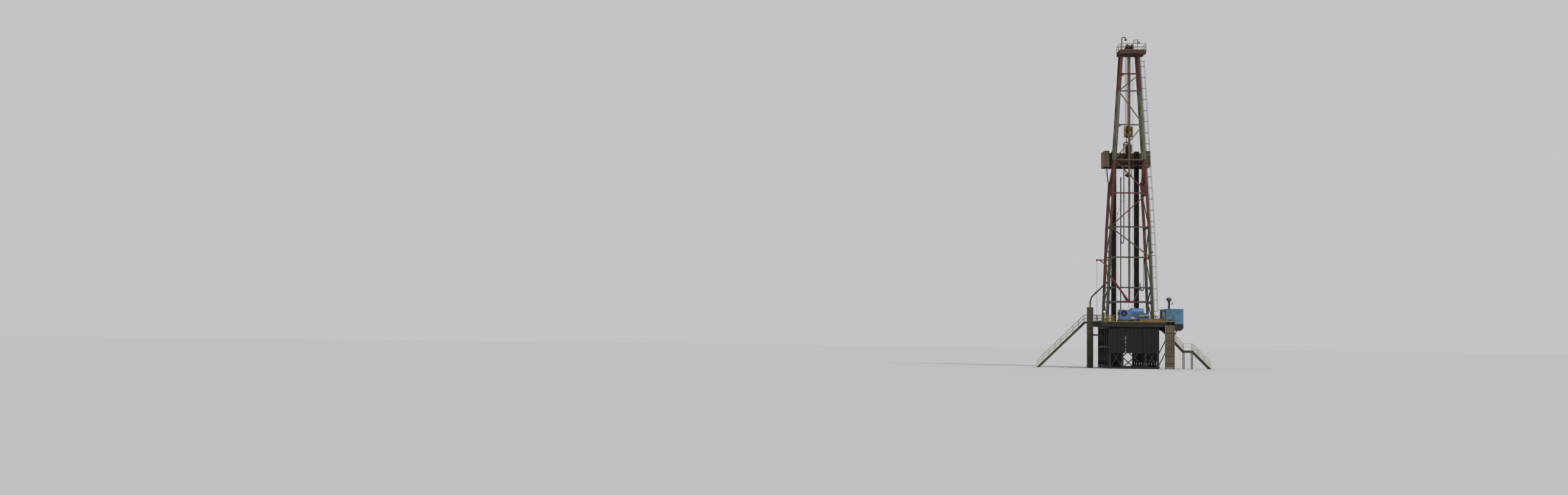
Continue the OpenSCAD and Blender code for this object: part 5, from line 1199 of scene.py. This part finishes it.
# %% [markdown]
# ## The heavy strut and the lines inside the mast
#
# The mast's open face is stiffened near the floor by a heavy strut, red like the middle
# section. Two thin hoist lines run down and apart from a shackle on the upper girt, each
# to a socket, and on to an eye in the floor. A long steel hook hangs from the third
# girt, ready for the pipe that comes up the ramp.

# %% Strut, hoist lines and hook
STRUT_Z = 7450
strut_x = LEG_EDGE - 1 - leg_x(STRUT_Z)


def heavy_strut(bm):
    """A wide flat bar, and a narrower and thicker one on it for its stiffening ribs."""
    a, b = Vector((strut_x, REAR_Y - 2, STRUT_Z)), Vector((-150, REAR_Y - 2, 5440))
    along = (b - a).normalized()
    across = Vector((-along.z, 0, along.x))
    for short, half_width, thickness in ((0, 70, 92), (60, 38, 116)):
        p, q, w = a + along * short, b - along * short, across * half_width
        add_plate(bm, [p + w, q + w, q - w, p - w], thickness, FRONT)


make("heavy_strut", heavy_strut, "mast_red")
bolts("strut_bolts", [((strut_x + 60 + dx, REAR_Y - 60, STRUT_Z - 70 - dz), BACK)
                      for dx, dz in ((0, 0), (50, 45), (100, 90), (20, 60), (75, 100))], 9, 12)
HOIST_TOP = (-460, REAR_Y + 60, 14030)
HOIST_ENDS = [(-985, REAR_Y + 120, 12450), (20, REAR_Y + 120, 11420)]
HOIST_FEET = [(-1010, REAR_Y + 140, 3770), (160, REAR_Y + 130, 3770)]
rods("hoist_lines", [(HOIST_TOP, end) for end in HOIST_ENDS], 7, "rope", sides=8)
rods("hoist_tails", list(zip(HOIST_ENDS, HOIST_FEET)), 6, "rope", sides=8)


def shackles(bm):
    for x, y, z in ((-460, REAR_Y + 60, 14090), (1100, REAR_Y + 20, 8860)):
        add_ring(bm, at(x, y, z), (34, 0, 0), (0, 0, 52), 11, 20)


def line_sockets(bm):
    for x, y, z in HOIST_ENDS:
        add_turned(bm, x, y, [(z + 70, 12), (z + 60, 30), (z - 60, 30), (z - 70, 12)], 14)
    for x, y, _ in HOIST_FEET:
        add_turned(bm, x, y, [(3750, 60), (3762, 60), (3764, 20), (3790, 20)], 14)


make("shackles", shackles, "steel", shade_smooth=True)
make("line_sockets", line_sockets, "dark_steel")
hook_path = smooth([(x, REAR_Y + 20, z) for x, z in (
    (1100, 8800), (1102, 8200), (1106, 7400), (1108, 6700), (1090, 6420), (1000, 6270), (890, 6330),
    (820, 6560), (800, 6950))], 5)
n = len(hook_path)
hook_radii = [0.024 + 0.022 * min(1, max(0, (k / n - 0.3) * 3)) for k in range(n - 3)] + [0.034, 0.022, 0.01]
make("long_hook", lambda bm: add_tube(bm, hook_path, hook_radii, 12), "dark_steel", shade_smooth=True)
print("hook points", n)

# %% [markdown]
# ## Crown
#
# At the top, toe boards run round the deck, and an orange lamp marks the mast for
# aircraft. The sheaves' bearings stand on tall bolts.

# %% Crown details
boxes("crown_toe_boards", slabs("z", CROWN_DECK_Z, 25800, [
    (-850, -1156, 1250, -1150), (-850, 600, 1250, 606), (-856, -1156, -850, 606),
    (1250, -1156, 1256, 606)]), "tan")
crown_bolts = grid(range(-800, 700, 150), (-1100, 550), CROWN_DECK_Z, UP)
bolts("crown_deck_bolts", crown_bolts, 9, 10)
bolts("crown_bearing_bolts", grid((-262, 262), (-96, 96), 25700, UP), 14, 60)
beacon = [(26660, 50), (26664, 52), (26740, 46), (26764, 12)]
make("crown_beacon", lambda bm: add_turned(bm, 950, 420, beacon, 20), "orange")
boxes("crown_beam_flanges", slabs("z", 25440, 25452, [(x - 60, -1150, x + 60, 600) for x in (-700, 700)]),
      "crown_red")
print("crown deck bolts", len(crown_bolts))

# %% [markdown]
# ## Racking board
#
# The wind wall behind the board is sheet steel on upright ribs. Chains close each finger
# slot so that a stand can't fall out. A chain is a line of rings, each turned a quarter
# against the last, and it hangs a little in its middle.

# %% Chains, toe boards and ties of the racking board
def chain(bm, p, q, ring_r=13, wire=3.2):
    a, b = at(*p), at(*q)
    along = b - a
    count = max(2, round(along.length * 1000 / (ring_r * 1.75)))
    sides = ring_frame(along)
    for k in range(count):
        t = (k + 0.5) / count
        centre = a.lerp(b, t) - Vector((0, 0, 0.05 * 4 * t * (1 - t)))
        reach = along.normalized() * 1.25 * ring_r
        add_ring(bm, centre, reach, sides[(k + 1) % 2] * 0.8 * ring_r, wire, 6, 4)


def finger_chains(bm):
    for side in SIDES:
        for y in (520 + 110 * i for i in range(12)):
            chain(bm, (side * 604, y + 26, BOARD_Z - 20), (side * 604, y + 110, BOARD_Z - 20))


make("finger_chains", finger_chains, "steel")
boxes("board_toe_boards", slabs("z", BOARD_Z, BOARD_Z + 90, [
    (-1830, 2128, 1830, 2134), (-250, 382, -244, 1980), (244, 382, 250, 1980)]), "tan")
side_posts = [(side, y) for side in SIDES for y in range(380, 2100, 244)]
wind_ribs = [(x, 2150, x + 22, 2158) for x in range(-1830, 1830, 228)]
wind_ribs += [(side * BOARD_X, y, side * (BOARD_X + 8), y + 22) for side, y in side_posts]
boxes("wind_wall_ribs", slabs("z", 16410, 17690, wind_ribs), "wind_wall")
wall_caps = slabs("z", 17700, 17712, [(side * 1828 - 10, y, side * 1828 + 10, y + 20)
                                      for side, y in side_posts])
boxes("wind_wall_caps", wall_caps + [((-BOARD_X, 2130, 17698), (BOARD_X, 2156, 17716))], "wind_wall")
guy_x = leg_x(15300) + 60
rods("board_back_guys", [((side * 1640, 2120, BOARD_Z - 64), (side * guy_x, LOWER_Y - 20, 15240))
                         for side in SIDES], 9, "rope", sides=8)
print("wind wall ribs", len(wind_ribs))

# %% [markdown]
# ## Travelling block, top drive and their hoses
#
# These pieces ride on the body that the winch lifts. Bolts hold the block's cheeks, and
# short hydraulic hoses loop beside the top drive from its swivel to its motors.

# %% Block and top drive
cheek_bolts = [spot for s in SIDES for spot in grid((-250, -90, 90, 250), s * 282, (18870, 19630), (0, s, 0))]
cheek_bolts += [spot for s in SIDES for spot in bolt_circle((0, s * 282, 19395), (110, 110), (0, s, 0), 8)]
bolts("block_bolts", cheek_bolts, 13, 16, body="block")
boxes("block_wear_bands", [((-316, s * 284, 18796), (316, s * 278, 18850)) for s in SIDES], "block_dark",
      "block")
gear_bolts = [spot for s in SIDES for spot in grid(range(-200, 201, 80), s * 230, (17590, 18110), (0, s, 0))]
gear_bolts += bolt_circle((0, 0, 18150), (150, 150), UP, 12, 0.5)
bolts("gearbox_bolts", gear_bolts, 10, 14, "steel", "block")
boxes("gearbox_bands", [((-231, s * 236, z), (231, s * 230, z + 40)) for z in (17600, 18040) for s in SIDES],
      "dark_steel", "block")
for k, y in enumerate((-150, 150)):
    bars(f"motor_ribs_{k}", (-186, y - 76, 17160), (186, y + 76, 17168), (0, 0, 40), 9, "dark_steel", "block")
loops = [smooth([(-180, y, 18140), (-250, y, 18200), (-350 + 10 * k, y + 20, 18060),
                 (-375 + 14 * k, y + 30, 17650), (-345 + 12 * k, y + 20, 17260), (-260, y, 17160),
                 (-176, y, 17190)], 6) for k, y in enumerate((-120, -80, -40))]
loops += [smooth([(180, y, 18140), (240, y, 18190), (300, y + 10, 18050), (310, y + 10, 17700),
                  (270, y, 17420), (176, y, 17400)], 6) for y in (60, 100)]
tubes("top_drive_hoses", loops, 15, "rubber", "block", sides=10)


def link_eyes(bm):
    for x in (-250, 250):
        add_ring(bm, at(x, 0, 15850), (0, 50, 0), (0, 0, 60), 16, 20)


make("link_eyes", link_eyes, "steel", "block", True)
print("hoses", len(loops))

# %% [markdown]
# ## Drilling lines
#
# The drilling lines run from the crown's sheaves down to the block. On the real rig the
# winch reels them in as the block rises. Here a copy of the CAD node's mesh, with its
# doubled points merged, takes the place of the node.

# %% Lines between the crown and the block
line_mesh = NODES["drilling_lines"].data.copy()
line_mesh.name = "block_lines"
bm = bmesh.new()
bm.from_mesh(line_mesh)
bmesh.ops.remove_doubles(bm, verts=bm.verts, dist=1e-6)
bm.to_mesh(line_mesh)
bm.free()
block_lines = dress(place("block_lines", line_mesh), None)
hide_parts("drilling_lines")
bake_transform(block_lines)

# %% [markdown]
# ## Cable rack, service column and davit
#
# The cables of the rack are held by clamps, and three of them bend over to the junction
# box at the floor's edge. The column stands on a foot plate, its bands are bolted, and
# the pipe on it has flanges. The davit's line runs over a small wheel.

# %% Clamps, flanges and wheel
CLAMPS, CLAMP_REAR = range(420, 3400, 600), -2668
boxes("cable_clamp_bars", slabs("y", CLAMP_REAR, CLAMP_REAR + 10, [(2431, z, 3199, z + 34) for z in CLAMPS]),
      "dark_steel")
clamp_bolts = grid([2473 + 76 * i for i in range(10)], CLAMP_REAR, [z + 17 for z in CLAMPS], BACK)
bolts("cable_clamp_bolts", clamp_bolts, 7, 10, "steel")
tails = [smooth([(2511 + 76 * i, -2614, 3480), (2511 + 76 * i, -2650, 3520), (2480 + 40 * i, -2745, 3590),
                 (2420, -2756, 3606 + 20 * i), (2280, -2762, 3600 + 24 * i)], 5) for i in range(3)]
tubes("cable_tails", tails, 12, "cable")
band_bolts = [spot for s in SIDES
              for spot in grid((-3250, -3150, -3000, -2900), s * 228, (940, 2140, 3240, 4340), (0, s, 0))]
bolts("column_band_bolts", band_bolts, 12, 36)
boxes("column_foot_plate", slabs("z", 0, 40, [
    (-3312, -237, -2838, -225), (-3312, 225, -2838, 237), (-3312, -225, -3300, 225),
    (-2850, -225, -2838, 225)]), "column")
flanges = [(Vector(p), Vector(along).normalized() * 22) for p, along in (
    ((-3075, -60, 5200), UP), ((-2650, -195, 6050), (600, -210, 600)),
    ((-2125, -530, 6615), (450, -460, 530)))]
rods("pipe_flanges", [(p - reach, p + reach) for p, reach in flanges], 88, "column", sides=20)


def davit_wheel(bm):
    for y in (-810.4, -789.6):
        add_ring(bm, at(-2650, y, 8690), (62, 0, 0), (0, 0, 62), 11, 24)
    add_rod(bm, (-2650, -835, 8690), (-2650, -765, 8690), 14, 12)


make("davit_wheel", davit_wheel, "dark_steel", shade_smooth=True)
print("clamps", len(CLAMPS), "band bolts", len(band_bolts))

# %% [markdown]
# The ladder climbs in two runs, which lean with the leg below and above its knee. The
# cage's bars are tied across the knee, and two more hoops close it there and at its top.
# A point on the cage is worked out in the run's own leaning frame.

# %% Cage ties and hoops
CAGE_R, CAGE_OUT, CAGE_END, LADDER_OFF = 190, 130, 450, 160
LOWER_RUN, UPPER_RUN = (FLOOR_Z + 400, KNEE_Z), (KNEE_Z, HEAD_Z - 110)


def on_run(foot, top, x, y, h):
    """A place in the frame of a ladder run: x out from the rungs, y across and h along it."""
    lean = math.atan2(leg_x(foot) - leg_x(top), top - foot)
    return (leg_x(foot) + LADDER_OFF + x * math.cos(lean) - h * math.sin(lean), REAR_Y + y,
            foot + x * math.sin(lean) + h * math.cos(lean))


def run_length(foot, top):
    return math.hypot(top - foot, leg_x(foot) - leg_x(top))


def cage_hoops(bm):
    section = [(CAGE_R - 15, 0), (CAGE_R, 0), (CAGE_R, 30), (CAGE_R - 15, 30)]
    for h in (0, run_length(*UPPER_RUN) - CAGE_END - 30):
        add_skin(bm, [[on_run(*UPPER_RUN, CAGE_OUT + r * math.cos(a), r * math.sin(a), h + rise)
                       for r, rise in section] for a in (math.radians(-132 + 22 * i) for i in range(13))])


bar_r = CAGE_R - 10
cage_bars = [(CAGE_OUT + bar_r * math.cos(a), bar_r * math.sin(a)) for a in map(math.radians, (-50, 0, 50))]
rods("ladder_cage_ties", [(on_run(*LOWER_RUN, x, y, run_length(*LOWER_RUN) - CAGE_END - 20),
                           on_run(*UPPER_RUN, x, y, CAGE_END + 20)) for x, y in cage_bars], 8, "ladder",
     sides=8)
make("ladder_cage_hoops", cage_hoops, "ladder")
print("upper run", round(run_length(*UPPER_RUN)), "mm")

# %% [markdown]
# ## Floor and light
#
# The rig stands on a plain pale floor, which belongs to the stage and not to the part.

# %% Floor
BACKDROP = (*screen(196, 195, 198), 1)
floor_paint, _, floor_shader = new_material("floor")
floor_shader["Base Color"].default_value = BACKDROP
floor_shader["Roughness"].default_value = 0.95
floor_shader["Specular IOR Level"].default_value = 0.0
floor = place("floor", new_mesh("floor", lambda bm: bmesh.ops.create_circle(bm, cap_ends=True, segments=96,
                                                                             radius=700)))
floor.data.materials.append(floor_paint)
print("floor radius 700 m")

# %% [markdown]
# A plain pale sky lights the rig evenly, and one broad sun from the right gives the
# steel its form. Together they add up to about the level at which a colour renders as it
# is written. The camera and mirrors see a paler sky than the one that gives the light.

# %% Sky and sun
world = bpy.data.worlds.new("sky")
bpy.context.scene.world = world
world.use_nodes = True
sky = world.node_tree
light = sky.nodes["Background"]
light.inputs[0].default_value = (*screen(236, 240, 246), 1)
light.inputs[1].default_value = 0.62
shown = node(sky, "ShaderNodeBackground", {0: BACKDROP, 1: 1.0})
rays = sky.nodes.new("ShaderNodeLightPath").outputs
mirrored = maths(sky, "MAXIMUM", rays["Is Glossy Ray"], rays["Is Transmission Ray"])
either = node(sky, "ShaderNodeMixShader", {0: maths(sky, "MAXIMUM", rays["Is Camera Ray"], mirrored),
                                           1: light.outputs[0], 2: shown.outputs[0]})
sky.links.new(either.outputs[0], sky.nodes["World Output"].inputs[0])

sun = place("sun", bpy.data.lights.new("sun", "SUN"))
sun.data.energy = 2.0
sun.data.angle = math.radians(12)
sun.data.color = screen(255, 246, 232)
sun.rotation_euler = Vector((-0.5, 0.62, -0.8)).to_track_quat("-Z", "Y").to_euler()
bpy.context.scene.view_settings.view_transform = "Standard"
print("sky", light.inputs[1].default_value, "sun", sun.data.energy)
